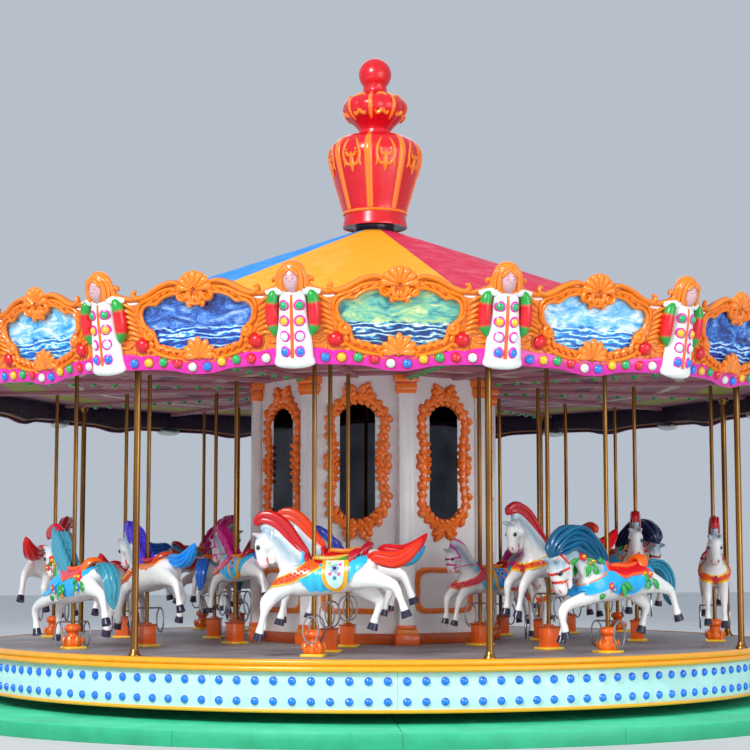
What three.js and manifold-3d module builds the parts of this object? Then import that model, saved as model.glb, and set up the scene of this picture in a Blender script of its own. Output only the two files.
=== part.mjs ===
// Fairground carousel: a fixed green base, and a turntable of deck, mirrored column, canopy and finial
// that turns on it, with twenty-four horses that slide up and down on their own poles.
// Millimetres, +Z up, origin at the middle of the base underside. Angle 0 points along -Y.

import * as THREE from 'three';
import { mergeVertices } from 'three/addons/utils/BufferGeometryUtils.js';
import Module from 'manifold-3d';

const wasm = await Module();
wasm.setup();

// Driving dimensions of the whole ride
const GAP = 0.3;
const BAYS = 16;
const RIM_SIDES = 48;
const PLINTH_RADIUS = 4550;
const PLINTH_TOP = 125;
const DECK_RADIUS = 3870;
const DECK_TOP = 630;
const DECK_THICKNESS = 60;
const DECK_EYE_RADIUS = 200;
const CEILING_BOTTOM = 3170;
const CEILING_THICKNESS = 40;
const SWEEP_HEIGHT = 40;
const SWEEP_WIDTH = 80;

// The deck edge and the skirt under it
const EDGE_BOTTOM = 535;
const EDGE_TOP = 636;
const EDGE_REACH = 65;
const SKIRT_BOTTOM = 216;
const SKIRT_THICKNESS = 25;
const SKIRT_HEM_HEIGHT = 25;

// The fixed centre that carries the turntable
const PEDESTAL_RADIUS = 500;
const CENTRE_PIN_RADIUS = 188;
const CENTRE_PIN_TOP = 720;

// The octagonal column
const COLUMN_RADIUS = 1200;
const COLUMN_SIDES = 8;
const COLUMN_WALL = 40;
const MIRROR_FRAME_HALF = { width: 320, height: 740 };
const MIRROR_GLASS_HALF = { width: 175, height: 575 };
const MIRROR_CENTRE_HEIGHT = 2350;
const FRAME_DEPTH = 35;
const DADO_FRAME_HALF = { width: 350, height: 220 };
const DADO_CENTRE_HEIGHT = 1130;

// The rounding boards lean outward as they rise
const BOARD_FOOT_HEIGHT = 2930;
const BOARD_FOOT_RADIUS = 4170;
const BOARD_HEAD_RADIUS = 4360;
const BOARD_HEAD_HEIGHT = 3760;
const BOARD_THICKNESS = 60;
const FIGURE_WIDTH = 320;

// The roof and the finial
const EAVE_HEIGHT = 3306;
const ROOF_APEX_HEIGHT = 4756;
const ROOF_EYE_RADIUS = 200;
const ROOF_THICKNESS = 25;
const VASE_TOP = 5810;
const GOURD_TOP = 6250;
const BALL_RADIUS = 170;
const BALL_CENTRE_HEIGHT = 6410;

// Poles and horses
const DROP_POLE_RADIUS = 28;
const DROP_POLE_CIRCLE = 3820;
const HORSE_POLE_RADIUS = 19;
const POLE_HOLE_RADIUS = 19.6;
const POLE_SIDES = 6;
const POLE_FOOT_AT_MID_STROKE = 400;
const POLE_HEAD_AT_MID_STROKE = 3370;
const GUIDE_BOX = { width: 130, height: 220 };
const HOOF_CLEARANCE_AT_MID_STROKE = 170;
const HORSE_ROWS = [
  { name: 'outer', radius: 3350, scale: 1, shift: 0 },
  { name: 'middle', radius: 2600, scale: 0.95, shift: 3 },
  { name: 'inner', radius: 1650, scale: 0.8, shift: 5 },
];
const REST_LIFTS = [-100, -20, 60, 120, 90, 20, -130, -40];

const BAY_ANGLE = (2 * Math.PI) / BAYS;
const FLAT_OF_BAY = Math.cos(BAY_ANGLE / 2);
const BOARD_LEAN = Math.atan(
  ((BOARD_HEAD_RADIUS - BOARD_FOOT_RADIUS) * FLAT_OF_BAY) / (BOARD_HEAD_HEIGHT - BOARD_FOOT_HEIGHT),
);
const BOARD_FOOT_FLAT = BOARD_FOOT_RADIUS * FLAT_OF_BAY;

// The ceiling reaches the backs of the boards at the height of its underside
const BOARD_BACK_FLAT = BOARD_FOOT_FLAT - BOARD_THICKNESS / Math.cos(BOARD_LEAN)
  + (CEILING_BOTTOM - BOARD_FOOT_HEIGHT) * Math.tan(BOARD_LEAN);
const CANOPY_FLAT = BOARD_BACK_FLAT - GAP;
const CANOPY_RADIUS = CANOPY_FLAT / FLAT_OF_BAY;

const finish = (color, roughness, metalness = 0) =>
  new THREE.MeshStandardMaterial({ color, roughness, metalness });
const MATERIALS = {
  greenPaint: finish(0x3fdca0, 0.5),
  steel: finish(0x6a6c70, 0.5, 0.8),
  deckPlate: finish(0x9a9794, 0.7),
  goldPaint: finish(0xf0a03c, 0.4),
  skirtPaint: finish(0xbfe8e2, 0.45),
  whitePanel: finish(0xece9ec, 0.5),
  ceilingPanel: finish(0xcaa0b0, 0.7),
  roofPanel: finish(0xfdbe3f, 0.5),
  boardShell: finish(0xf09a3e, 0.45),
  redShell: finish(0xe0102f, 0.25),
  brassTube: finish(0xc9982f, 0.3, 0.9),
  horseShell: finish(0xf4f4f2, 0.3),
};

// Solids and meshes

function toSolid(geometry) {
  const bare = geometry.clone();
  bare.deleteAttribute('normal');
  bare.deleteAttribute('uv');
  const merged = mergeVertices(bare, 1e-3);
  return new wasm.Manifold(new wasm.Mesh({
    numProp: 3,
    vertProperties: new Float32Array(merged.attributes.position.array),
    triVerts: new Uint32Array(merged.index.array),
  }));
}

function toGeometry(solid) {
  const mesh = solid.getMesh();
  const geometry = new THREE.BufferGeometry();
  geometry.setAttribute('position', new THREE.BufferAttribute(mesh.vertProperties, 3));
  geometry.setIndex(new THREE.BufferAttribute(mesh.triVerts, 1));
  geometry.computeVertexNormals();
  return geometry;
}

const joined = (solids) => solids.reduce((whole, piece) => whole.add(piece));

function addPiece(parent, name, geometry, material, angle = 0) {
  const mesh = new THREE.Mesh(geometry, material);
  mesh.name = name;
  mesh.rotation.z = angle;
  parent.add(mesh);
  return mesh;
}

// A point at a radius and an angle from -Y, counter-clockwise from above
const polar = (radius, angle) => new THREE.Vector2(radius * Math.sin(angle), -radius * Math.cos(angle));

const regularPolygon = (radius, sides) =>
  Array.from({ length: sides }, (_, i) => polar(radius, (2 * Math.PI * i) / sides));

// An outline in plan, raised from one height to another
function plate(points, bottom, top, holes = []) {
  const shape = new THREE.Shape(points);
  for (const hole of holes) {
    shape.holes.push(new THREE.Path(hole));
  }
  const geometry = new THREE.ExtrudeGeometry(shape, { depth: top - bottom, bevelEnabled: false });
  return geometry.translate(0, 0, bottom);
}

// A profile of [radius, height] points turned about the vertical axis, with a corner at angle 0
function turned(profile, sides) {
  const points = profile.map(([radius, height]) => new THREE.Vector2(radius, height));
  const geometry = new THREE.LatheGeometry(points, sides);
  return geometry.rotateX(Math.PI / 2);
}

function turnedRing(profile, sides) {
  return turned([...profile, profile[0]], sides);
}

function box(width, depth, height, x, y, bottom) {
  return new THREE.BoxGeometry(width, depth, height).translate(x, y, bottom + height / 2);
}

function post(radius, sides, x, y, bottom, top) {
  const points = regularPolygon(radius, sides).map((point) => point.add(new THREE.Vector2(x, y)));
  return plate(points, bottom, top);
}

// A closed body through stations of [x, y, z, half width, half depth], all along one upright plane.
// The half width lies along Y and the half depth lies across the path.
function limb(stations, sides) {
  const centres = stations.map(([x, y, z]) => new THREE.Vector3(x, y, z));
  const lateral = new THREE.Vector3(0, 1, 0);
  const toFlat = Math.cos(Math.PI / sides);
  const positions = [];
  stations.forEach(([, , , halfWidth, halfDepth], i) => {
    const before = centres[Math.max(i - 1, 0)];
    const after = centres[Math.min(i + 1, centres.length - 1)];
    const along = after.clone().sub(before).setY(0).normalize();
    const across = new THREE.Vector3().crossVectors(lateral, along);
    for (let side = 0; side < sides; side += 1) {
      const turn = (2 * Math.PI * (side + 0.5)) / sides;
      const point = centres[i].clone()
        .addScaledVector(lateral, (halfWidth * Math.cos(turn)) / toFlat)
        .addScaledVector(across, (-halfDepth * Math.sin(turn)) / toFlat);
      positions.push(point.x, point.y, point.z);
    }
  });
  const indices = [];
  for (let ring = 0; ring < stations.length - 1; ring += 1) {
    for (let side = 0; side < sides; side += 1) {
      const a = ring * sides + side;
      const b = ring * sides + ((side + 1) % sides);
      indices.push(a, b, b + sides, a, b + sides, a + sides);
    }
  }
  const last = (stations.length - 1) * sides;
  for (let side = 1; side < sides - 1; side += 1) {
    indices.push(0, side + 1, side);
    indices.push(last, last + side, last + side + 1);
  }
  const geometry = new THREE.BufferGeometry();
  geometry.setAttribute('position', new THREE.Float32BufferAttribute(positions, 3));
  geometry.setIndex(indices);
  return geometry;
}

// Fixed base

function basePlinth() {
  return plate(regularPolygon(PLINTH_RADIUS, RIM_SIDES), 0, PLINTH_TOP);
}

function centrePedestal() {
  return turned([
    [0, PLINTH_TOP + GAP],
    [PEDESTAL_RADIUS, PLINTH_TOP + GAP],
    [PEDESTAL_RADIUS, DECK_TOP - DECK_THICKNESS - GAP],
    [CENTRE_PIN_RADIUS, DECK_TOP - DECK_THICKNESS - GAP],
    [CENTRE_PIN_RADIUS, CENTRE_PIN_TOP],
    [0, CENTRE_PIN_TOP],
  ], 24);
}

// Deck

// One eighth of the deck, with the guide boxes and the holes of its three horse poles
function deckPanel() {
  const steps = RIM_SIDES / COLUMN_SIDES;
  const rim = Array.from({ length: steps + 1 }, (_, i) => polar(DECK_RADIUS, (i / steps - 0.5) * 2 * BAY_ANGLE));
  const eye = [polar(DECK_EYE_RADIUS, BAY_ANGLE), polar(DECK_EYE_RADIUS, 0), polar(DECK_EYE_RADIUS, -BAY_ANGLE)];
  const floor = toSolid(plate([...rim, ...eye], DECK_TOP - DECK_THICKNESS, DECK_TOP));
  const boxes = HORSE_ROWS.map(({ radius }) => toSolid(
    box(GUIDE_BOX.width, GUIDE_BOX.width, GUIDE_BOX.height + 1, 0, -radius, DECK_TOP - 1),
  ));
  const seam = GAP / 2 / Math.sin(BAY_ANGLE);
  const panel = HORSE_ROWS.reduce(
    (solid, { radius }) => solid.subtract(toSolid(post(POLE_HOLE_RADIUS, POLE_SIDES, 0, -radius, 0, 2000))),
    joined([floor, ...boxes]),
  );
  return { geometry: toGeometry(panel), seam };
}

function deckMoulding() {
  const inner = DECK_RADIUS + 1;
  const outer = DECK_RADIUS + EDGE_REACH;
  const middle = (EDGE_BOTTOM + EDGE_TOP) / 2;
  return turnedRing([
    [inner, EDGE_BOTTOM],
    [outer, EDGE_BOTTOM],
    [outer - 12, middle],
    [outer, EDGE_TOP],
    [inner, EDGE_TOP],
  ], RIM_SIDES);
}

function deckSkirt() {
  const inner = DECK_RADIUS - SKIRT_THICKNESS;
  const top = DECK_TOP - DECK_THICKNESS - GAP;
  return turnedRing([
    [inner, SKIRT_BOTTOM],
    [DECK_RADIUS + 20, SKIRT_BOTTOM],
    [DECK_RADIUS + 20, SKIRT_BOTTOM + SKIRT_HEM_HEIGHT],
    [DECK_RADIUS, SKIRT_BOTTOM + SKIRT_HEM_HEIGHT],
    [DECK_RADIUS, top],
    [inner, top],
  ], RIM_SIDES);
}

// Column

// A band between two outlines, standing on the face of the column whose middle is at angle 0
function faceBand(outer, inner, centreHeight, flat) {
  const geometry = plate(outer, -5, FRAME_DEPTH, [inner]);
  return geometry.rotateX(Math.PI / 2).translate(0, -flat, centreHeight);
}

// A tall outline with round flanks and a point at its top and bottom
function pointedOval({ width, height }) {
  const flank = height * 0.66;
  return [[0, height], [-width, flank], [-width, -flank], [0, -height], [width, -flank], [width, flank]]
    .map(([x, z]) => new THREE.Vector2(x, z));
}

// A rectangle with its corners cut off
function cutCorners({ width, height }, cut) {
  return [
    [-width, height - cut], [-width, cut - height], [cut - width, -height], [width - cut, -height],
    [width, cut - height], [width, height - cut], [width - cut, height], [cut - width, height],
  ].map(([x, z]) => new THREE.Vector2(x, z));
}

function centreColumn() {
  const flat = COLUMN_RADIUS * Math.cos(Math.PI / COLUMN_SIDES);
  const innerRadius = COLUMN_RADIUS - COLUMN_WALL / Math.cos(Math.PI / COLUMN_SIDES);
  const bottom = DECK_TOP + GAP;
  const top = CEILING_BOTTOM - GAP;
  const wall = toSolid(plate(
    regularPolygon(COLUMN_RADIUS, COLUMN_SIDES), bottom, top, [regularPolygon(innerRadius, COLUMN_SIDES)],
  ));
  const pilaster = [
    box(150, 80, top - bottom, 0, -COLUMN_RADIUS, bottom),
    box(230, 120, 180, 0, -COLUMN_RADIUS, bottom),
    box(230, 120, 180, 0, -COLUMN_RADIUS, top - 180),
  ];
  const frames = [
    faceBand(pointedOval(MIRROR_FRAME_HALF), pointedOval(MIRROR_GLASS_HALF), MIRROR_CENTRE_HEIGHT, flat),
    faceBand(
      cutCorners(DADO_FRAME_HALF, 90),
      cutCorners({ width: DADO_FRAME_HALF.width - 55, height: DADO_FRAME_HALF.height - 55 }, 70),
      DADO_CENTRE_HEIGHT, flat,
    ),
  ];
  const solids = [wall];
  for (let side = 0; side < COLUMN_SIDES; side += 1) {
    const corner = side * 2 * BAY_ANGLE;
    for (const geometry of pilaster) {
      solids.push(toSolid(geometry.clone().rotateZ(corner)));
    }
    for (const geometry of frames) {
      solids.push(toSolid(geometry.clone().rotateZ(corner + BAY_ANGLE)));
    }
  }
  return toGeometry(joined(solids));
}

// Canopy

// The ceiling and the sixteen sweeps that stand proud under it
function canopyFrame() {
  const rim = regularPolygon(CANOPY_RADIUS, BAYS);
  const solids = [toSolid(plate(rim, CEILING_BOTTOM, CEILING_BOTTOM + CEILING_THICKNESS))];
  const sweepInner = COLUMN_RADIUS + 70;
  const sweepLength = BOARD_FOOT_FLAT - BOARD_THICKNESS - 20 - sweepInner;
  const sweep = box(
    SWEEP_WIDTH, sweepLength, SWEEP_HEIGHT + 1, 0, -(sweepInner + sweepLength / 2), CEILING_BOTTOM - SWEEP_HEIGHT,
  );
  for (let bay = 0; bay < BAYS; bay += 1) {
    solids.push(toSolid(sweep.clone().rotateZ(bay * BAY_ANGLE)));
  }
  let frame = joined(solids);
  for (let bay = 1; bay < BAYS; bay += 2) {
    for (const { radius } of HORSE_ROWS) {
      const hole = post(POLE_HOLE_RADIUS, POLE_SIDES, 0, -radius, 2000, 4000).rotateZ(bay * BAY_ANGLE);
      frame = frame.subtract(toSolid(hole));
    }
  }
  return toGeometry(frame);
}

function canopyRoof() {
  const bottom = CEILING_BOTTOM + CEILING_THICKNESS + GAP;
  const slope = (ROOF_APEX_HEIGHT - EAVE_HEIGHT) / (CANOPY_RADIUS - ROOF_EYE_RADIUS);
  const drop = ROOF_THICKNESS * Math.hypot(1, slope);
  const inner = CANOPY_RADIUS - ROOF_THICKNESS;
  return turnedRing([
    [inner, bottom],
    [CANOPY_RADIUS, bottom],
    [CANOPY_RADIUS, EAVE_HEIGHT],
    [ROOF_EYE_RADIUS, ROOF_APEX_HEIGHT],
    [ROOF_EYE_RADIUS, ROOF_APEX_HEIGHT - drop],
    [inner, EAVE_HEIGHT + slope * ROOF_THICKNESS - drop],
  ], BAYS);
}

// One board in its own plane: X along the board, Y up it, then set leaning at angle 0
function board(leftTrim) {
  const halfFoot = BOARD_FOOT_RADIUS * Math.sin(BAY_ANGLE / 2) - 12;
  const widening = Math.sin(BAY_ANGLE / 2) * Math.sin(BOARD_LEAN);
  const edge = (height, share) => share * (halfFoot + height * widening);
  const left = (height) => edge(height, -1) + leftTrim;
  const outline = [
    [left(0), 15], [0, -60], [edge(0, 1), 15], [edge(600, 1), 590], [330, 730], [130, 760],
    [0, 800], [-130, 760], [-330, 730], [left(600), 590],
  ];
  const shape = outline.map(([x, y]) => new THREE.Vector2(x, y));
  return plate(shape, -BOARD_THICKNESS, 0)
    .rotateX(Math.PI / 2 + BOARD_LEAN)
    .translate(0, -BOARD_FOOT_FLAT, BOARD_FOOT_HEIGHT);
}

// A robed figure at the corner between two boards, leaning with them
function cornerFigure() {
  const height = BOARD_HEAD_HEIGHT - BOARD_FOOT_HEIGHT;
  const reach = BOARD_HEAD_RADIUS - BOARD_FOOT_RADIUS;
  const at = (share, halfWidth, halfDepth) => {
    const radius = BOARD_FOOT_RADIUS + reach * share;
    return [-radius, 0, BOARD_FOOT_HEIGHT + height * share, halfWidth, halfDepth];
  };
  const robe = limb([
    at(0, FIGURE_WIDTH * 0.4, 55),
    at(0.3, FIGURE_WIDTH * 0.42, 60),
    at(0.62, FIGURE_WIDTH * 0.55, 70),
    at(0.74, FIGURE_WIDTH * 0.3, 45),
  ], 4);
  const head = limb([at(0.7, 55, 55), at(0.86, 85, 75), at(1, 40, 35)], 5);
  return joined([toSolid(robe), toSolid(head)].map((solid) => solid.rotate(0, 0, 90)));
}

// Two boards and the two figures at their right-hand corners
function roundingBoards() {
  const turnOf = THREE.MathUtils.radToDeg(BAY_ANGLE);
  const figure = cornerFigure();
  const trimmed = FIGURE_WIDTH * 0.56 + 20;
  const pieces = [
    toSolid(board(trimmed)).rotate(0, 0, -turnOf / 2),
    figure,
    toSolid(board(0)).rotate(0, 0, turnOf / 2),
    figure.rotate(0, 0, turnOf),
  ];
  return toGeometry(joined(pieces));
}

// Finial

function finialVase() {
  const foot = ROOF_APEX_HEIGHT + GAP;
  return turned([
    [0, foot], [225, foot], [225, 4830], [330, 4845], [320, 4970], [345, 5000], [420, 5270], [475, 5520],
    [460, 5640], [370, 5750], [165, 5790], [165, VASE_TOP], [0, VASE_TOP],
  ], BAYS);
}

function finialGourd() {
  const foot = VASE_TOP + GAP;
  return turned([
    [0, foot], [165, foot], [250, 5855], [330, 5980], [330, 6080], [240, 6170], [130, 6205], [120, GOURD_TOP],
    [0, GOURD_TOP],
  ], BAYS);
}

function finialBall() {
  const foot = GOURD_TOP + GAP;
  const sine = (BALL_CENTRE_HEIGHT - foot) / BALL_RADIUS;
  const start = -Math.asin(sine);
  const steps = 6;
  const arc = Array.from({ length: steps + 1 }, (_, i) => {
    const turn = start + ((Math.PI / 2 - start) * i) / steps;
    const radius = i === steps ? 0 : BALL_RADIUS * Math.cos(turn);
    return [radius, BALL_CENTRE_HEIGHT + BALL_RADIUS * Math.sin(turn)];
  });
  return turned([[0, foot], ...arc], 12);
}

// Horse: X is backward, so it faces -X, with Z from its front hooves and its pole at the origin

function horseBody() {
  const trunk = limb([
    [-335, 0, 530, 50, 75], [-230, 0, 530, 120, 145], [20, 0, 535, 140, 140], [400, 0, 590, 120, 125],
    [525, 0, 600, 50, 65],
  ], 6);
  const neck = limb([[-140, 0, 580, 85, 140], [-245, 0, 770, 65, 110], [-350, 0, 915, 50, 70]], 4);
  const head = limb([[-370, 0, 960, 50, 60], [-450, 0, 820, 60, 80], [-440, 0, 640, 40, 45]], 4);
  const mane = limb([[-500, 0, 1035, 30, 35], [-290, 0, 1020, 35, 65], [-60, 0, 730, 30, 45]], 4);
  const saddle = limb([[-60, 0, 690, 90, 35], [250, 0, 715, 110, 45]], 4);
  const tail = limb([[470, 0, 680, 45, 40], [690, 0, 640, 50, 65], [890, 0, 830, 30, 40]], 4);
  return [trunk, neck, head, mane, saddle, tail];
}

function horseLegs() {
  const side = 75;
  const foreLeft = limb([[-260, side, 470, 55, 70], [-430, side, 300, 35, 42], [-450, side, 0, 33, 36]], 4);
  const foreRight = limb([[-260, -side, 470, 55, 70], [-480, -side, 330, 35, 42], [-510, -side, 20, 33, 36]], 4);
  const hindNear = limb([[380, -side, 560, 60, 95], [680, -side, 490, 38, 45], [800, -side, 230, 33, 36]], 4);
  const hindFar = limb([[360, side, 540, 60, 95], [540, side, 350, 38, 45], [475, side, 130, 33, 36]], 4);
  return [foreLeft, foreRight, hindNear, hindFar];
}

function horseOnPole(scale, lift) {
  const hoofHeight = DECK_TOP + HOOF_CLEARANCE_AT_MID_STROKE;
  const pole = post(
    HORSE_POLE_RADIUS, POLE_SIDES, 0, 0, POLE_FOOT_AT_MID_STROKE - hoofHeight, POLE_HEAD_AT_MID_STROKE - hoofHeight,
  );
  const flesh = [...horseBody(), ...horseLegs()].map((piece) => toSolid(piece.scale(scale, scale, scale)));
  const geometry = toGeometry(joined([...flesh, toSolid(pole)]));
  return { geometry, height: hoofHeight + lift };
}

// Assembly

const carousel = new THREE.Group();
const turntable = new THREE.Group();
carousel.add(turntable);

addPiece(carousel, 'base_plinth', basePlinth(), MATERIALS.greenPaint);
addPiece(carousel, 'centre_pedestal', centrePedestal(), MATERIALS.steel);

function addDeck() {
  const { geometry, seam } = deckPanel();
  for (let panel = 0; panel < COLUMN_SIDES; panel += 1) {
    const angle = (2 * panel + 1) * BAY_ANGLE;
    const mesh = addPiece(turntable, `deck_panel_${panel + 1}`, geometry, MATERIALS.deckPlate, angle);
    const outward = polar(seam, angle);
    mesh.position.set(outward.x, outward.y, 0);
  }
  addPiece(turntable, 'deck_moulding', deckMoulding(), MATERIALS.goldPaint);
  addPiece(turntable, 'deck_skirt', deckSkirt(), MATERIALS.skirtPaint);
}

function addCanopy() {
  addPiece(turntable, 'centre_column', centreColumn(), MATERIALS.whitePanel);
  addPiece(turntable, 'canopy_frame', canopyFrame(), MATERIALS.ceilingPanel);
  addPiece(turntable, 'canopy_roof', canopyRoof(), MATERIALS.roofPanel);
  const boards = roundingBoards();
  for (let pair = 0; pair < BAYS / 2; pair += 1) {
    const angle = 2 * pair * BAY_ANGLE;
    addPiece(turntable, `rounding_boards_${pair + 1}`, boards, MATERIALS.boardShell, angle);
  }
  const dropPole = post(
    DROP_POLE_RADIUS, 8, 0, -DROP_POLE_CIRCLE, DECK_TOP + GAP, CEILING_BOTTOM - SWEEP_HEIGHT - GAP,
  );
  for (let pole = 0; pole < BAYS / 2; pole += 1) {
    addPiece(turntable, `drop_pole_${pole + 1}`, dropPole, MATERIALS.brassTube, 2 * pole * BAY_ANGLE);
  }
  addPiece(turntable, 'finial_vase', finialVase(), MATERIALS.redShell);
  addPiece(turntable, 'finial_gourd', finialGourd(), MATERIALS.redShell);
  addPiece(turntable, 'finial_ball', finialBall(), MATERIALS.redShell);
}

function addHorses() {
  for (const { name, radius, scale, shift } of HORSE_ROWS) {
    for (let place = 0; place < BAYS / 2; place += 1) {
      const angle = (2 * place + 1) * BAY_ANGLE;
      const lift = REST_LIFTS[(place + shift) % REST_LIFTS.length];
      const { geometry, height } = horseOnPole(scale, lift);
      const mesh = addPiece(turntable, `horse_${name}_${place + 1}`, geometry, MATERIALS.horseShell, angle);
      const centre = polar(radius, angle);
      mesh.position.set(centre.x, centre.y, height);
    }
  }
}

addDeck();
addCanopy();
addHorses();

export default carousel;
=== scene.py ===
import math
import random

import bmesh
import bpy
import numpy as np
from mathutils import Matrix, Vector
from mathutils.bvhtree import BVHTree


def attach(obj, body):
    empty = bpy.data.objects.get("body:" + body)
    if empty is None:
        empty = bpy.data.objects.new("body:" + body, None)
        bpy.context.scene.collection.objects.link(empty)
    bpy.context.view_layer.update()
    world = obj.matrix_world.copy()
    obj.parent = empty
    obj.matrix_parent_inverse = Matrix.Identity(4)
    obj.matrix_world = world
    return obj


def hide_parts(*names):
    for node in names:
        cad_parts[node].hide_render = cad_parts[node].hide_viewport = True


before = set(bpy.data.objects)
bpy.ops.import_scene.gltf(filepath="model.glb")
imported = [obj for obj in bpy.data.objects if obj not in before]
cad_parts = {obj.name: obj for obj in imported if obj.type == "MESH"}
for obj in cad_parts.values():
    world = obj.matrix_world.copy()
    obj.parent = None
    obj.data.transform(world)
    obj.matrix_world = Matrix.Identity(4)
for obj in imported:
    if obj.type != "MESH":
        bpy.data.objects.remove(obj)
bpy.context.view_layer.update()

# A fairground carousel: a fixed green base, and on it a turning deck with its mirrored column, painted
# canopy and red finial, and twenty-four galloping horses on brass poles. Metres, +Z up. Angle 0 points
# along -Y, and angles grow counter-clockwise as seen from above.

TAU = 2 * math.pi
X_WAY, Y_WAY, Z_WAY = (1, 0, 0), (0, 1, 0), (0, 0, 1)
BAYS = 16
BAY = TAU / BAYS
COLUMN_SIDES = 8

# Base, deck and skirt
PLINTH_RADIUS = 4.55
PLINTH_TOP = 0.125
DECK_RADIUS = 3.87
DECK_TOP = 0.63
DECK_UNDERSIDE = 0.57
DECK_EYE_RADIUS = 0.2
EDGE_BOTTOM = 0.535
EDGE_TOP = 0.636
EDGE_RADIUS = 3.935
SKIRT_BOTTOM = 0.216
SKIRT_LAMP_ROWS = (0.465, 0.305)
LAMPS_PER_BAY = 10

# Column
COLUMN_RADIUS = 1.2
COLUMN_FLAT = COLUMN_RADIUS * math.cos(math.pi / COLUMN_SIDES)
MIRROR_HEIGHT = 2.35
DADO_HEIGHT = 1.13

# Canopy and rounding boards
CEILING_BOTTOM = 3.17
CEILING_TOP = 3.21
SWEEP_DEPTH = 0.04
BOARD_FOOT_HEIGHT = 2.93
BOARD_FOOT_RADIUS = 4.17
BOARD_HEAD_HEIGHT = 3.76
BOARD_HEAD_RADIUS = 4.36
BOARD_THICKNESS = 0.06
FLAT_OF_BAY = math.cos(BAY / 2)
BOARD_FOOT_FLAT = BOARD_FOOT_RADIUS * FLAT_OF_BAY
BOARD_LEAN = math.atan((BOARD_HEAD_RADIUS - BOARD_FOOT_RADIUS) * FLAT_OF_BAY / (BOARD_HEAD_HEIGHT - BOARD_FOOT_HEIGHT))
CANOPY_FLAT = (BOARD_FOOT_FLAT - BOARD_THICKNESS / math.cos(BOARD_LEAN)
               + (CEILING_BOTTOM - BOARD_FOOT_HEIGHT) * math.tan(BOARD_LEAN))

# Roof and finial
EAVE_HEIGHT = 3.306
APEX_HEIGHT = 4.756
APEX_RADIUS = 0.2
VASE_TOP = 5.81
BALL_RADIUS = 0.17
BALL_HEIGHT = 6.41

# Poles and horses
DROP_POLE_RADIUS = 0.028
DROP_POLE_CIRCLE = 3.82
HORSE_POLE_RADIUS = 0.019
POLE_FOOT = 0.4
POLE_HEAD = 3.37
FOOTREST_ASIDE = 0.14
HOOF_HEIGHT = DECK_TOP + 0.17
HORSE_ROWS = {"outer": (3.35, 1.0, 0), "middle": (2.6, 0.95, 3), "inner": (1.65, 0.8, 5)}
REST_LIFTS = (-0.10, -0.02, 0.06, 0.12, 0.09, 0.02, -0.13, -0.04)

PAINT = {
    "white": "#F1F0EE", "cool white": "#D9E3EA", "blue grey": "#8FACBE", "gold": "#EE801C", "deep gold": "#B24A0E",
    "bright orange": "#FF8024", "deep orange": "#DC5418", "amber": "#F9A81E", "yellow": "#F8C62A", "orange": "#EE6212",
    "red": "#DC0C1E", "crimson": "#B8102C", "magenta": "#E01FA8", "pink": "#F25AA8", "rose": "#E8A6A4",
    "teal": "#2C7F9C", "cyan": "#2FBFF0", "azure": "#1496F0", "blue": "#1C74E0", "navy": "#1A2350",
    "night": "#241E3A", "violet": "#4636C8", "green": "#1E9A3A", "lime": "#B8C83C", "dusty pink": "#A8707C",
    "lamp blue": "#0A74F0", "lamp green": "#12A860", "lamp yellow": "#F2B81C", "lamp red": "#DC1830",
    "lamp white": "#D8E4E0", "black": "#101014", "aqua white": "#C4ECEA", "roof blue": "#1E8FE6",
    "roof red": "#D8284E", "ceiling cream": "#D8C4B4", "green floor": "#45E0A8",
}
# Darker paints for the low points of carving, as painted shade in the hollows
HOLLOW_SHADE = {"gold": "deep gold", "bright orange": "deep orange"}


# Colours, nodes and materials

def linear(code):
    """A linear colour from its sRGB hex code, or from its name in PAINT."""
    code = PAINT.get(code, code)
    parts = [int(code[i:i + 2], 16) / 255 for i in (1, 3, 5)]
    return tuple(c / 12.92 if c <= 0.04045 else ((c + 0.055) / 1.055) ** 2.4 for c in parts) + (1.0,)


def add(tree, kind, inputs=None, out=0, **settings):
    """Adds a node and returns one of its outputs. Settings are the node's own properties. Inputs are its sockets,
    each a value or a socket to link."""
    node = tree.nodes.new(kind if kind.startswith("GeometryNode") else "ShaderNode" + kind)
    for name, value in settings.items():
        setattr(node, name, value)
    for key, value in (inputs or {}).items():
        if isinstance(value, bpy.types.NodeSocket):
            tree.links.new(value, node.inputs[key])
        else:
            node.inputs[key].default_value = value
    return node.outputs[out]


def noise(tree, where, scale, detail, **more):
    return add(tree, "TexNoise", {"Vector": where, "Scale": scale, "Detail": detail, **more})


def maths(tree, operation, *values):
    return add(tree, "Math", dict(enumerate(values)), operation=operation)


def mixed(tree, share, first, second, **settings):
    """A colour between two, or what the blend type makes of them."""
    return add(tree, "Mix", {0: share, 6: first, 7: second}, 2, data_type="RGBA", **settings)


def spread(tree, value, *ends):
    """A value carried from its own two ends to two others, or from 0 and 1 where only the others are given."""
    return add(tree, "MapRange", {"Value": value, **dict(zip(range(5 - len(ends), 5), ends))})


def ramp(tree, value, *stops, interpolation="LINEAR"):
    """A colour from a value, through stops of a place and a colour."""
    colour = add(tree, "ValToRGB", {0: value})
    band = colour.node.color_ramp
    band.interpolation = interpolation
    while len(band.elements) < len(stops):
        band.elements.new(1)
    for element, (place, code) in zip(band.elements, stops):
        element.position = place
        element.color = linear(code)
    return colour


def new_finish(name, **shader_values):
    """A new material with the values that are the same all over it, its tree, and each point's place."""
    material = bpy.data.materials.new(name)
    material.use_nodes = True
    tree = material.node_tree
    for socket, value in shader_values.items():
        tree.nodes["Principled BSDF"].inputs[socket.replace("_", " ")].default_value = value
    return material, tree, add(tree, "TexCoord", out="Object")


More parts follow.
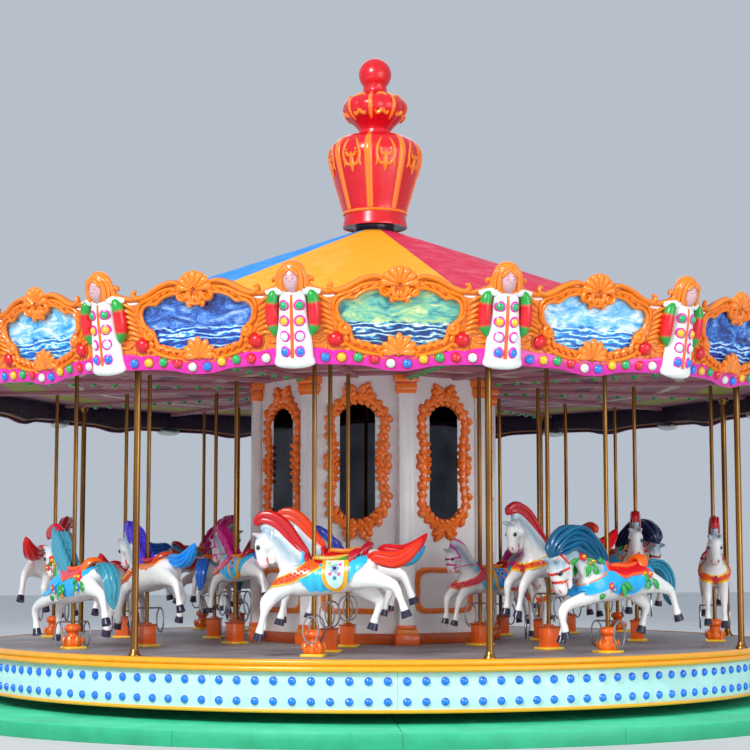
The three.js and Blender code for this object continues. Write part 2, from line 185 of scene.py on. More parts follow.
def coated(material, colour, roughness=None, height=None, strength=0.0, depth=0.003):
    """Gives the material its colour, and its roughness and bump where they change over the surface."""
    tree = material.node_tree
    links = {"Base Color": colour, "Roughness": roughness}
    if height is not None:
        links["Normal"] = add(tree, "Bump", {"Height": height, "Strength": strength, "Distance": depth})
    for name, socket in links.items():
        if socket is not None:
            tree.links.new(socket, tree.nodes["Principled BSDF"].inputs[name])
    return material


def enamel(name, roughness, ripple, **shader_values):
    """Enamel in the colour of a piece's paint attribute. It is a little cloudy, where the coats are uneven, darker in
    hollows as painted shade, paler on sharp edges as wear and painted highlight, and rippled like orange peel, drawn
    coarse so that it shows."""
    material, tree, place = new_finish(name, **shader_values)
    cloud = noise(tree, place, 6, 4)
    # Pointiness darkens the hollows as painted shade and lightens sharp edges, as wear and painted highlight.
    hollow_shade_and_edge_wear = spread(tree, add(tree, "NewGeometry", out="Pointiness"), 0.44, 0.56, 0.8, 1.12)
    shade = maths(tree, "MULTIPLY", spread(tree, cloud, 0.35, 0.65, 0.93, 1.02), hollow_shade_and_edge_wear)
    paint = add(tree, "Attribute", out="Color", attribute_name="paint")
    colour = mixed(tree, 1.0, paint, shade, blend_type="MULTIPLY")
    dull = spread(tree, cloud, 0.3, 0.7, roughness * 1.4, roughness * 0.8)
    return coated(material, colour, dull, noise(tree, place, 90, 2), ripple, 0.004)


def floor_paint():
    """Floor paint on plywood: satin, scuffed paler by feet, with the grain just telegraphing through. Its tops take a
    paler green than its sides, as painted light and painted shade.
    """
    material, tree, place = new_finish("floor paint on plywood", IOR=1.5)
    scuff = noise(tree, place, 3, 8, Roughness=0.65)
    # Upward faces take the paler green and the sides the darker green, as painted light and painted shade.
    up = add(tree, "SeparateXYZ", {0: add(tree, "NewGeometry", out="Normal")}, "Z")
    top = ramp(tree, scuff, (0.3, "#36CE97"), (0.55, "#45E0A8"), (0.75, "#6BEBBD"))
    side = ramp(tree, scuff, (0.3, "#22986E"), (0.7, "#2DB887"))
    colour = mixed(tree, up, side, top, clamp_factor=True)
    return coated(material, colour, spread(tree, scuff, 0.35, 0.65), noise(tree, place, 60, 3), 0.25)


def tread_plate():
    """Aluminium tread plate, greyed by feet: raised bars 40 mm apart that turn each way in turn, polished on top."""
    material, tree, place = new_finish("aluminium tread plate", Metallic=0.35)
    cells = add(tree, "VectorMath", {0: place, 3: 25.0}, operation="SCALE")
    black_white = {"Vector": cells, "Color1": (1, 1, 1, 1), "Color2": (0, 0, 0, 1), "Scale": 1.0}
    checker = add(tree, "TexChecker", black_white, "Fac")
    slanted = add(tree, "Mapping", {"Vector": cells, "Rotation": (0, 0, math.radians(45))})
    bars = [add(tree, "TexWave", {"Vector": slanted, "Scale": 0.45}, "Fac", bands_direction=way) for way in "XY"]
    raised = maths(tree, "POWER", add(tree, "Mix", {0: checker, 2: bars[0], 3: bars[1]}), 6.0)
    wear = noise(tree, place, 2.2, 7)
    base = ramp(tree, wear, (0.3, "#6E6870"), (0.5, "#8C858A"), (0.72, "#A8A2A2"))
    colour = mixed(tree, raised, base, linear("#C4C0C0"))
    return coated(material, colour, spread(tree, wear, 0.42, 0.62), raised, 0.5)


def metal(name, bright, dark, roughness):
    """Bare metal: clean where hands rub it and duller and darker where it tarnishes."""
    material, tree, place = new_finish(name, Metallic=1.0)
    along = add(tree, "Mapping", {"Vector": place, "Scale": (1, 1, 0.25)})
    tarnish = noise(tree, along, 4, 3)
    colour = ramp(tree, tarnish, (0.35, dark), (0.65, bright))
    dull = spread(tree, tarnish, 0.3, 0.7, roughness * 1.25, roughness * 0.8)
    return coated(material, colour, dull, noise(tree, along, 160, 2), 0.03, 0.002)


def silvered_glass():
    """Old silvered glass with nearly sharp reflections and a faint grey bloom. Its colour is darkened as a painted
    reflection of dark surroundings.
    """
    material, tree, place = new_finish("silvered glass", Metallic=1.0)
    bloom = noise(tree, place, 3, 3)
    # The dark colours are a painted reflection of dark surroundings; the bloom varies them.
    colour = ramp(tree, bloom, (0.35, "#2C2C32"), (0.65, "#403F44"))
    return coated(material, colour, spread(tree, bloom, 0.4, 0.75, 0.02, 0.06))


def printed_panel():
    """Printed ceiling panels under matt varnish: pink, plum and cream bands across each bay, with red flower
    spots in one band and an olive band near the rim. The bands follow the panel's own map, so they run along it."""
    material, tree, _ = new_finish("printed panel", Roughness=0.6)
    where = add(tree, "UVMap", uv_map="panel")
    smudge = noise(tree, where, 9, 4)
    drift = maths(tree, "MULTIPLY_ADD", smudge, 0.05, -0.025)
    across = maths(tree, "ADD", add(tree, "SeparateXYZ", {0: where}, "Y"), drift)
    bands = ramp(
        tree, across, (0, "#8A5A78"), (0.1, "#C07C8C"), (0.2, "#9A5A74"), (0.26, "ceiling cream"), (0.3, "#B8707C"),
        (0.42, "#7A4A62"), (0.47, "#C0848C"), (0.62, "#A2586C"), (0.68, "ceiling cream"), (0.71, "#B0686E"),
        (0.8, "#A39A28"), (0.9, "#B06A7C"), (0.96, "#7A4A62"), interpolation="CONSTANT")
    long = add(tree, "Mapping", {"Vector": where, "Scale": (1, 4, 1)})
    spots = add(tree, "TexVoronoi", {"Vector": long, "Scale": 7, "Randomness": 0.2}, "Distance")
    band = maths(tree, "COMPARE", across, 0.56, 0.055)
    printed = maths(tree, "MULTIPLY", spread(tree, spots, 0.2, 0.28, 1, 0), band)
    return coated(material, mixed(tree, printed, bands, linear("#B03048")), None, smudge, 0.1, 0.004)


# Four colours of a sky and four of a sea: a night, an evening and a noon
MOODS = (
    (("#10163F", "#1B3C9C", "#2E78D8", "#A9C8EA"), ("#0E2A8C", "#1C62E0", "#3FB4EE", "#E4F2F6")),
    (("#27707C", "#5FB6A8", "#9CCB8C", "#E6E6B4"), ("#16306E", "#2A6FBE", "#69BFC4", "#F2EFDC")),
    (("#2A9AE6", "#6CC2F2", "#C6E6F4", "#FFFFFF"), ("#0F5BC0", "#1E97E4", "#57CDE8", "#F4FBFA")),
)


def painted_scene():
    """Varnished panels painted with a plain sea under a broken sky. Each bay starts from its own place in the
    waves and clouds and takes one of three moods, and the brush leaves ridges."""
    material, tree, _ = new_finish("varnished paint on board", Roughness=0.3, Coat_Weight=0.4, Coat_Roughness=0.12)
    where = add(tree, "UVMap", uv_map="panel")
    bay = add(tree, "Attribute", out="Fac", attribute_name="copy")
    moved = add(tree, "VectorMath", {0: where, 1: add(tree, "CombineXYZ", {0: bay})}, operation="ADD")
    long = add(tree, "Mapping", {"Vector": moved, "Scale": (1, 2.2, 1)})
    clouds = noise(tree, long, 5, 8, Roughness=0.68, Distortion=0.9)
    flat = add(tree, "Mapping", {"Vector": moved, "Scale": (0.35, 1, 1)})
    swell = {"Vector": flat, "Scale": 7, "Distortion": 9, "Detail": 4, "Detail Scale": 2.5}
    waves = add(tree, "TexWave", swell, "Fac", bands_direction="Y")
    height = add(tree, "SeparateXYZ", {0: where}, "Y")
    is_sky = spread(tree, maths(tree, "MULTIPLY_ADD", clouds, 0.16, height), 0.425, 0.445, 0, 1)
    third = maths(tree, "MODULO", bay, 3.0)
    colour = None
    for number, (sky, sea) in enumerate(MOODS):
        above = ramp(tree, clouds, *zip((0.36, 0.46, 0.55, 0.66), sky))
        below = ramp(tree, waves, *zip((0.15, 0.55, 0.88, 1.0), sea))
        mood = mixed(tree, is_sky, below, above)
        colour = mixed(tree, maths(tree, "GREATER_THAN", third, number - 0.5), colour, mood) if number else mood
    return coated(material, colour, None, waves, 0.25)


def studio_floor():
    """A plain pale floor with the faint unevenness of a painted screed."""
    material, tree, place = new_finish("painted screed", Roughness=0.8)
    return coated(material, ramp(tree, noise(tree, place, 0.6, 4), (0.3, "#D2D4D6"), (0.7, "#DADCDD")))


FINISHES = {
    # Moulded glass-fibre under gloss enamel: wet-looking highlights on round forms
    "gloss": enamel("gloss enamel on glass fibre", 0.27, 0.12, IOR=1.5, Coat_Weight=0.28, Coat_Roughness=0.06),
    # Glass-fibre roof panels, sprayed satin and weathered: broad soft highlights
    "satin": enamel("satin enamel on glass fibre", 0.62, 0.06, IOR=1.36),
    # Sheet steel under enamel: flat, even panels
    "sheet": enamel("enamel on sheet steel", 0.32, 0.05, IOR=1.5),
    # Moulded acrylic lamp caps: glassy, saturated colour with light held inside
    "acrylic": enamel("moulded acrylic", 0.08, 0.0, IOR=1.49, Coat_Weight=1.0, Coat_Roughness=0.02),
    "floor": floor_paint(),
    "tread": tread_plate(),
    # Lacquered brass tube: warm yellow-brown with soft, long highlights
    "brass": metal("lacquered brass", "#A4763C", "#7E5630", 0.32),
    # Stainless footrests: pale, with a clean narrow highlight
    "steel": metal("brushed stainless steel", "#C8CACC", "#8C9094", 0.3),
    # Steel under old grease: nearly black, with dull patches
    "grease": metal("greased steel", "#5A5A5C", "#2C2A28", 0.45),
    "mirror": silvered_glass(),
    "print": printed_panel(),
    "scene": painted_scene(),
    "studio": studio_floor(),
}


# Surfaces: the points, the faces and a paint for each point

def surface(points, faces, paint):
    """A surface in one paint."""
    points = np.asarray(points, float).reshape(-1, 3)
    return points, [tuple(face) for face in faces], np.tile(linear(paint), (len(points), 1))


def joined(parts):
    """One surface from several."""
    faces, start = [], 0
    for points, own, _ in parts:
        faces += [tuple(start + i for i in face) for face in own]
        start += len(points)
    return np.concatenate([p[0] for p in parts]), faces, np.concatenate([p[2] for p in parts])


def placed(part, *matrices):
    """A copy of a surface, moved by each matrix in turn."""
    points, faces, paints = part
    for matrix in matrices:
        m = np.array(matrix)
        points = points @ m[:3, :3].T + m[:3, 3]
    return points, faces, paints


def mirrored(part):
    """A surface and its mirror image across X = 0."""
    flip = Matrix.Diagonal((-1, 1, 1, 1))
    return joined([part, placed(part, flip)])


def shift(x, y, z):
    return Matrix.Translation((x, y, z))


def turn(angle, axis="Z"):
    return Matrix.Rotation(angle, 4, axis)


def smoothed(stations, steps):
    """More stations, on a smooth curve through the given ones."""
    rows = np.asarray(stations, float)
    if steps < 2:
        return rows
    rows = np.vstack([2 * rows[0] - rows[1], rows, 2 * rows[-1] - rows[-2]])
    shares = np.arange(steps)[:, None] / steps
    spans = []
    for a, b, c, d in zip(rows, rows[1:], rows[2:], rows[3:]):
        spans.append(0.5 * (2 * b + (c - a) * shares + (2 * a - 5 * b + 4 * c - d) * shares ** 2
                            + (3 * b - a - 3 * c + d) * shares ** 3))
    return np.vstack(spans + [rows[-2]])


def tube_faces(rows, sides, ends=True):
    """The faces of a tube whose points run round each row in turn."""
    faces = [tuple(range(sides)), tuple(range((rows - 1) * sides, rows * sides))] if ends else []
    for i in range(rows - 1):
        for j in range(sides):
            k = (j + 1) % sides
            faces.append((i * sides + j, i * sides + k, (i + 1) * sides + k, (i + 1) * sides + j))
    return faces


def loft(stations, wide, paint, sides=8, steps=3):
    """A closed body through stations of x, y, z, half width along the wide direction, and half depth across it."""
    rows = smoothed(stations, steps)
    centres = rows[:, :3]
    along = np.gradient(centres, axis=0)
    along /= np.linalg.norm(along, axis=1, keepdims=True)
    across = np.asarray(wide, float) - (along @ np.asarray(wide, float))[:, None] * along
    across /= np.linalg.norm(across, axis=1, keepdims=True)
    out = np.cross(along, across)
    angles = TAU * np.arange(sides) / sides
    sizes = np.maximum(rows[:, 3:5], 0.0005)
    ring = (centres[:, None] + across[:, None] * (sizes[:, 0, None] * np.cos(angles))[..., None]
            + out[:, None] * (sizes[:, 1, None] * np.sin(angles))[..., None])
    return surface(ring, tube_faces(len(rows), sides), paint)


def revolved(profile, paint, sides=96, ripple=None):
    """A profile of radius and height, turned about the vertical axis. A ripple changes the radius with the angle
    and the height."""
    rows = np.asarray(profile, float)
    angles = TAU * np.arange(sides) / sides
    radius = rows[:, :1] * (np.ones(sides) if ripple is None else ripple(angles[None], rows[:, 1:]))
    points = np.stack([radius * np.sin(angles), -radius * np.cos(angles), np.repeat(rows[:, 1:], sides, 1)], -1)
    return surface(points, tube_faces(len(rows), sides, not np.allclose(rows[0], rows[-1])), paint)


def shaded_in_hollows(part, paint, height):
    """A carving with the deeper paint on its low points, as painted shade in its hollows."""
    if paint in HOLLOW_SHADE:
        part[2][part[0][:, 2] < 0.25 * height] = linear(HOLLOW_SHADE[paint])
    return part


def ridge(path, widest, height, paint, closed=False, taper=0.35, sides=5, steps=2):
    """A rounded stroke of carving along a path in the XY plane, half sunk in it. It swells in the middle."""
    path = np.asarray(path, float)
    count = len(path)
    swell = np.ones(count) if closed else taper + (1 - taper) * np.sin(np.pi * np.linspace(0, 1, count)) ** 0.7
    rows = smoothed(np.column_stack([path, np.zeros(count), 0.5 * widest * swell, height * swell]), steps)
    along = np.gradient(rows[:, :2], axis=0)
    along /= np.maximum(np.linalg.norm(along, axis=1, keepdims=True), 1e-9)
    across = np.column_stack([-along[:, 1], along[:, 0]])
    angles = np.linspace(0, math.pi, sides)
    points = np.zeros((len(rows), sides, 3))
    points[..., :2] = rows[:, None, :2] + across[:, None] * (rows[:, 3, None] * np.cos(angles))[..., None]
    points[..., 2] = rows[:, 4, None] * np.sin(angles) - 0.002
    # The low points of the stroke take a darker paint, as painted shade.
    return shaded_in_hollows(surface(points, tube_faces(len(rows), sides, not closed), paint), paint, height)


def whole(half, steps=2):
    """A closed outline from its right half, which starts and ends on the middle line."""
    loop = list(half) + [(-x, y) for x, y in half[-2:0:-1]]
    return [tuple(p) for p in smoothed(loop + loop[:1], steps)[:-1]]


def curl(x, y, radius, start, turns, way=1):
    """A path that winds in from a circle, for the end of a scroll."""
    shares = np.linspace(0, 1, max(6, int(10 * abs(turns))))
    angles = start + way * turns * TAU * shares
    radii = radius * (1 - 0.75 * shares)
    return list(zip(x + radii * np.cos(angles), y + radii * np.sin(angles)))


def leaf(base, tip, bend, width, height, paint="gold"):
    """A pointed leaf from its base to its tip, bowed to its left by the bend."""
    base, tip = np.array(base, float), np.array(tip, float)
    along = tip - base
    aside = np.array([-along[1], along[0]]) * bend
    path = [base, base + 0.3 * along + 0.7 * aside, base + 0.65 * along + aside, tip + 0.15 * aside]
    return ridge(path, width, height, paint, taper=0.12)


def dome(radius, height, paint, sides=10, rings=3):
    """A low round cap that points along +Z, for what is repeated many times."""
    profile = [(radius, -0.2 * height)]
    profile += [(radius * math.cos(i / rings * math.pi / 2), height * math.sin(i / rings * math.pi / 2))
                for i in range(rings)]
    return revolved(profile + [(0.0005, height)], paint, sides)


def block(width, depth, height, paint, bevel=0.004):
    """A box that stands on the origin, with its edges taken off."""
    shape = bmesh.new()
    bmesh.ops.create_cube(shape, size=1)
    bmesh.ops.transform(shape, matrix=Matrix.Diagonal((width, depth, height, 1)), verts=shape.verts)
    if bevel:
        bmesh.ops.bevel(shape, geom=shape.edges[:], offset=bevel, segments=2, profile=0.5, affect="EDGES")
    points = [v.co[:] for v in shape.verts]
    faces = [[v.index for v in face.verts] for face in shape.faces]
    shape.free()
    return placed(surface(points, faces, paint), shift(0, 0, height / 2))


def panel(outlines, depth, bevel, paint, segments=2):
    """A flat panel with rounded edges, in the XY plane and up to depth above it. Outlines after the first are holes."""
    curve = bpy.data.curves.new("outline", "CURVE")
    curve.dimensions = "2D"
    curve.fill_mode = "BOTH"
    curve.extrude = depth / 2 - bevel
    curve.bevel_depth = bevel
    curve.bevel_resolution = segments - 1
    curve.offset = -bevel
    for outline in outlines:
        spline = curve.splines.new("POLY")
        spline.points.add(len(outline) - 1)
        for point, (x, y) in zip(spline.points, outline):
            point.co = (x, y, 0, 1)
        spline.use_cyclic_u = True
    holder = bpy.data.objects.new("outline", curve)
    bpy.context.scene.collection.objects.link(holder)
    depsgraph = bpy.context.evaluated_depsgraph_get()
    mesh = bpy.data.meshes.new_from_object(holder.evaluated_get(depsgraph))
    shape = bmesh.new()
    shape.from_mesh(mesh)
    bmesh.ops.remove_doubles(shape, verts=shape.verts, dist=1e-5)
    points = [v.co[:] for v in shape.verts]
    faces = [[v.index for v in face.verts] for face in shape.faces]
    shape.free()
    bpy.data.objects.remove(holder)
    bpy.data.curves.remove(curve)
    bpy.data.meshes.remove(mesh)
    return placed(surface(points, faces, paint), shift(0, 0, depth / 2))


def piece(name, part, finish, crease=40, chart=None):
    """A mesh object of a surface. Its faces are turned out, its paint is an attribute, and a chart is its UV map."""
    points, faces, paints = part
    mesh = bpy.data.meshes.new(name)
    mesh.from_pydata(points.tolist(), [], faces)
    paint = mesh.attributes.new("paint", "FLOAT_COLOR", "POINT")
    paint.data.foreach_set("color", np.ascontiguousarray(paints, np.float32).ravel())
    if chart is not None:
        corners = np.empty(len(mesh.loops), np.int32)
        mesh.loops.foreach_get("vertex_index", corners)
        mesh.uv_layers.new(name="panel").data.foreach_set("uv", np.asarray(chart, np.float32)[corners].ravel())
    shape = bmesh.new()
    shape.from_mesh(mesh)
    bmesh.ops.recalc_face_normals(shape, faces=shape.faces)
    shape.to_mesh(mesh)
    shape.free()
    mesh.shade_smooth()
    mesh.set_sharp_from_angle(angle=math.radians(crease))
    mesh.materials.append(FINISHES[finish])
    made = bpy.data.objects.new(name, mesh)
    bpy.context.scene.collection.objects.link(made)
    return made


def plain(made):
    """Turns what a piece's modifiers make into its own mesh, and takes the modifiers off."""
    depsgraph = bpy.context.evaluated_depsgraph_get()
    mesh = bpy.data.meshes.new_from_object(made.evaluated_get(depsgraph), preserve_all_data_layers=True,
                                           depsgraph=depsgraph)
    made.modifiers.clear()
    made.data = mesh
    return made


# Rules for what repeats

SOCKETS = {int: "NodeSocketInt", float: "NodeSocketFloat", str: "NodeSocketMaterial"}


def copies_rule(name, **row_sizes):
    """A geometry node tree that sets numbered copies of a shape at even turns round the vertical axis. With the
    sizes of a row, each copy is a row of the shape along -Y."""
    tree = bpy.data.node_groups.new(name, "GeometryNodeTree")
    tree.interface.new_socket("Shape", in_out="INPUT", socket_type="NodeSocketGeometry")
    for size, start in {"Count": BAYS, "First": 0.0, **row_sizes, "Finish": ""}.items():
        socket = tree.interface.new_socket(size, in_out="INPUT", socket_type=SOCKETS[type(start)])
        if start != "":
            socket.default_value = start
    tree.interface.new_socket("Shape", in_out="OUTPUT", socket_type="NodeSocketGeometry")
    sizes = tree.nodes.new("NodeGroupInput").outputs
    shape = sizes["Shape"]
    if row_sizes:
        step = add(tree, "CombineXYZ", {1: maths(tree, "MULTIPLY", sizes["Step"], -1.0)})
        line = add(tree, "GeometryNodeMeshLine", {"Count": sizes["Along"], "Offset": step})
        shape = add(tree, "GeometryNodeInstanceOnPoints", {"Points": line, "Instance": shape})
    points = add(tree, "GeometryNodePoints", {"Count": sizes["Count"]})
    number = add(tree, "GeometryNodeInputIndex")
    angle = maths(tree, "MULTIPLY_ADD", number, maths(tree, "DIVIDE", TAU, sizes["Count"]), sizes["First"])
    turned = {"Points": points, "Instance": shape, "Rotation": add(tree, "CombineXYZ", {2: angle})}
    copies = add(tree, "GeometryNodeInstanceOnPoints", turned)
    numbered = add(tree, "GeometryNodeStoreNamedAttribute", {"Geometry": copies, "Name": "copy", "Value": number},
                   data_type="FLOAT", domain="INSTANCE")
    real = add(tree, "GeometryNodeRealizeInstances", {0: numbered})
    done = add(tree, "GeometryNodeSetMaterial", {"Geometry": real, "Material": sizes["Finish"]})
    tree.links.new(done, tree.nodes.new("NodeGroupOutput").inputs["Shape"])
    return tree


RING = copies_rule("ring of copies")
ROWS = copies_rule("ring of rows", Along=8, Step=0.3)


def by_rule(made, tree, finish, **sizes):
    """Runs a rule on a piece, and makes the result its mesh."""
    modifier = made.modifiers.new(tree.name, "NODES")
    modifier.node_group = tree
    values = {**sizes, "Finish": FINISHES[finish]}
    for socket in tree.interface.items_tree:
        if socket.in_out == "INPUT" and socket.name in values:
            modifier[socket.identifier] = values[socket.name]
    return plain(made)


def ring(name, part, finish, count=BAYS, first=0.0, crease=40, chart=None):
    """A piece of copies of a surface, at even turns round the axis."""
    return by_rule(piece(name, part, finish, crease, chart), RING, finish, Count=count, First=float(first))


def on_turntable(made, slot, *nodes):
    """The piece turns with the deck and stands for the nodes. The slot is not used."""
    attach(made, "turntable")
    if nodes:
        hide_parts(*nodes)
    return made


# Camera, light and studio floor

def make_studio():
    """The camera where the photograph was taken from, a large soft lamp at upper left, a weak one at right and a
    pale surround."""
    scene = bpy.context.scene
    camera = bpy.data.objects.new("camera", bpy.data.cameras.new("camera"))
    left, back, eye_height, tilt_up = 4.363, 17.669, 1.40, 5.93
    camera.location = (-left, -back, eye_height)
    camera.rotation_euler = (math.radians(90 + tilt_up), 0, -math.atan2(left, back))
    camera.data.lens = 86.4
    camera.data.sensor_width = 36
    scene.collection.objects.link(camera)
    scene.camera = camera
    scene.view_settings.view_transform = "Standard"
    for name, place, size, power in (
        ("key lamp", (-15, -17, 15), 7, 4700), ("fill lamp", (9, -18, 4), 12, 1500),
                                     ("back lamp", (4, 18, 14), 12, 450),
    ):
        lamp = bpy.data.objects.new(name, bpy.data.lights.new(name, "AREA"))
        lamp.data.size = size
        lamp.data.energy = power
        lamp.location = place
        lamp.rotation_euler = (Vector((0, 0, 2)) - Vector(place)).to_track_quat("-Z", "Y").to_euler()
        scene.collection.objects.link(lamp)
    world = bpy.data.worlds.new("studio")
    world.use_nodes = True
    world.node_tree.nodes["Background"].inputs["Color"].default_value = linear("#D4DEEA")
    world.node_tree.nodes["Background"].inputs["Strength"].default_value = 0.72
    scene.world = world
    half = 60.0
    corners = [(-half, -half, 0), (half, -half, 0), (half, half, 0), (-half, half, 0)]
    piece("studio_floor", surface(corners, [(0, 1, 2, 3)], "white"), "studio")


# Base and deck

def arc(radius, start, end, steps):
    """Points in plan on an arc round the axis."""
    return [(radius * math.sin(start + (end - start) * i / steps),
             -radius * math.cos(start + (end - start) * i / steps))
            for i in range(steps + 1)]


def make_base():
    """Sixteen plywood floor sections with a joint between each two, over a core painted near-black as painted shade,
    and the pedestal.
    """
    joint = 0.0015 / PLINTH_RADIUS
    section = panel([arc(PLINTH_RADIUS, joint - BAY / 2, BAY / 2 - joint, 10) + arc(0.3, BAY / 2, -BAY / 2, 2)],
                    PLINTH_TOP, 0.006, "green floor")
    floor = ring("base_floor", section, "floor", crease=30)
    # The core is painted near-black as painted shade for the gap under the skirt; it also shows dark in the joints.
    core = piece("base_core", revolved([(0.25, 0.002), (PLINTH_RADIUS - 0.02, 0.002), (PLINTH_RADIUS - 0.02, 0.117),
                                        (0.25, 0.117), (0.25, 0.002)], "night"), "sheet")
    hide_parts("base_plinth")
    for made in (floor, core):
        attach(made, "base")
    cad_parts["centre_pedestal"].data.materials.clear()
    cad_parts["centre_pedestal"].data.materials.append(FINISHES["grease"])


def make_deck():
    """Eight sections of tread plate, the guide boxes of the horse poles, the gold edge and the lamp skirt."""
    section = panel([arc(DECK_RADIUS, -BAY * 0.998, BAY * 0.998, 14) + arc(DECK_EYE_RADIUS, BAY, -BAY, 4)],
                    DECK_TOP - DECK_UNDERSIDE, 0.002, "white")
    deck = ring("deck_floor", placed(section, shift(0, 0, DECK_UNDERSIDE)), "tread", count=8, first=BAY)
    on_turntable(deck, "deck_plate", *[f"deck_panel_{i}" for i in range(1, 9)])
    boxes = []
    for row, (radius, _, _) in HORSE_ROWS.items():
        boxes.append(placed(guide_box(row == "outer"), shift(0, -radius, DECK_TOP)))
    on_turntable(ring("guide_boxes", joined(boxes), "gloss", count=8, first=BAY), "deck_plate")
    on_turntable(deck_edge(), "gold_moulding", "deck_moulding")
    make_skirt()


def guide_box(carved):
    """The box that a horse pole slides in, on a pale foot. The outer ones are carved like a vase."""
    foot = block(0.19, 0.19, 0.022, "yellow", 0.004)
    if carved:
        body = loft([(0, 0, 0.02, 0.068, 0.068), (0, 0, 0.05, 0.09, 0.09), (0, 0, 0.085, 0.082, 0.082),
                     (0, 0, 0.115, 0.055, 0.055), (0, 0, 0.145, 0.052, 0.052), (0, 0, 0.17, 0.075, 0.075),
                     (0, 0, 0.2, 0.07, 0.07), (0, 0, 0.22, 0.045, 0.045)],
                    X_WAY, "orange", sides=12, steps=3)
        leaves = [placed(loft([(0, 0, 0.03, 0.01, 0.004), (0, -0.012, 0.075, 0.02, 0.01),
                               (0, -0.002, 0.115, 0.006, 0.004)],
                              X_WAY, "gold", sides=6), shift(0, -0.082, 0), turn(TAU * i / 8)) for i in range(8)]
        return joined([foot, body] + leaves)
    body = placed(block(0.13, 0.13, 0.185, "orange", 0.008), shift(0, 0, 0.02))
    collar = placed(block(0.145, 0.145, 0.016, "deep gold", 0.004), shift(0, 0, 0.19))
    return joined([foot, body, collar, placed(block(0.07, 0.07, 0.015, "deep gold", 0.004), shift(0, 0, 0.205))])


def deck_edge():
    """Two gold rolls with a groove between them, from the skirt up to the deck."""
    roll = 0.5 * (EDGE_TOP - EDGE_BOTTOM)
    profile = [(DECK_RADIUS + 0.001, EDGE_BOTTOM)]
    for middle in (EDGE_BOTTOM + roll / 2, EDGE_TOP - roll / 2):
        for i in range(9):
            swing = math.pi * (i / 8 - 0.5)
            profile.append((EDGE_RADIUS - 0.024 + 0.024 * math.cos(swing), middle + 0.5 * roll * math.sin(swing)))
    profile += [(DECK_RADIUS + 0.001, EDGE_TOP), (DECK_RADIUS + 0.001, EDGE_BOTTOM)]
    return piece("deck_edge", revolved(profile, "amber", 192), "gloss", crease=50)


def make_skirt():
    """Aqua white panels, one to each bay, a gold hem, and two rows of blue lamps in white rings."""
    joint = 0.0012 / DECK_RADIUS
    outline = arc(DECK_RADIUS, joint - BAY / 2, BAY / 2 - joint, 12) + arc(DECK_RADIUS - 0.022, BAY / 2 - joint,
            joint - BAY / 2, 12)
    sheet = placed(panel([outline], EDGE_BOTTOM + 0.03 - SKIRT_BOTTOM, 0.003, "aqua white"), shift(0, 0, SKIRT_BOTTOM))
    on_turntable(ring("skirt_panels", sheet, "sheet"), "skirt_panels", "deck_skirt")
    hem = [(DECK_RADIUS + out, SKIRT_BOTTOM + up) for out, up in (
        (-0.005, 0), (0.012, 0), (0.02, 0.012), (0.012, 0.026), (-0.005, 0.03), (-0.005, 0))]
    on_turntable(piece("skirt_hem", revolved(hem, "amber", 192), "gloss"), "skirt_panels")
    facing = turn(math.pi / 2, "X")
    caps = [placed(dome(0.036, 0.026, "lamp blue", 10, 3), facing, shift(0, -DECK_RADIUS - 0.004, height))
            for height in SKIRT_LAMP_ROWS]
    rims = [placed(dome(0.042, 0.009, "cool white", 12, 1), facing, shift(0, -DECK_RADIUS, height))
            for height in SKIRT_LAMP_ROWS]
    count = BAYS * LAMPS_PER_BAY
    first = TAU / count / 2
    on_turntable(ring("skirt_lamps", joined(caps), "acrylic", count, first), "skirt_panels")
    on_turntable(ring("skirt_lamp_rims", joined(rims), "sheet", count, first), "skirt_panels")


# Column

# Right half of a mirror's edge and of the middle of its frame, from the top down to the middle
GLASS_EDGE = ((0, 0.588), (0.05, 0.562), (0.11, 0.515), (0.16, 0.462), (0.17, 0.4), (0.167, 0))
FRAME_LINE = ((0, 0.615), (0.06, 0.61), (0.12, 0.588), (0.18, 0.548), (0.228, 0.498), (0.258, 0.44), (0.266, 0.37),
              (0.256, 0.29), (0.24, 0.2), (0.238, 0.1), (0.242, 0))


def on_side(part, out=0.0):
    """Stands a flat drawing up against the column's near side."""
    return placed(part, turn(math.pi / 2, "X"), shift(0, -COLUMN_FLAT - out, 0))


def both_ways(quarter):
    """A closed outline from its upper right quarter, which ends on the middle lines."""
    return whole(list(quarter) + [(x, -y) for x, y in quarter[-2::-1]])


def lobe(x, y, radius, slant=0.0, height=0.05):
    """A fat oval swelling of carving, with its long way at the slant."""
    part = placed(dome(radius, height, "bright orange", 8, 2), Matrix.Diagonal((1.3, 0.85, 1, 1)), turn(slant),
                  shift(x, y, 0))
    # The low points of the lobe take a darker paint, as painted shade.
    return shaded_in_hollows(part, "bright orange", height)


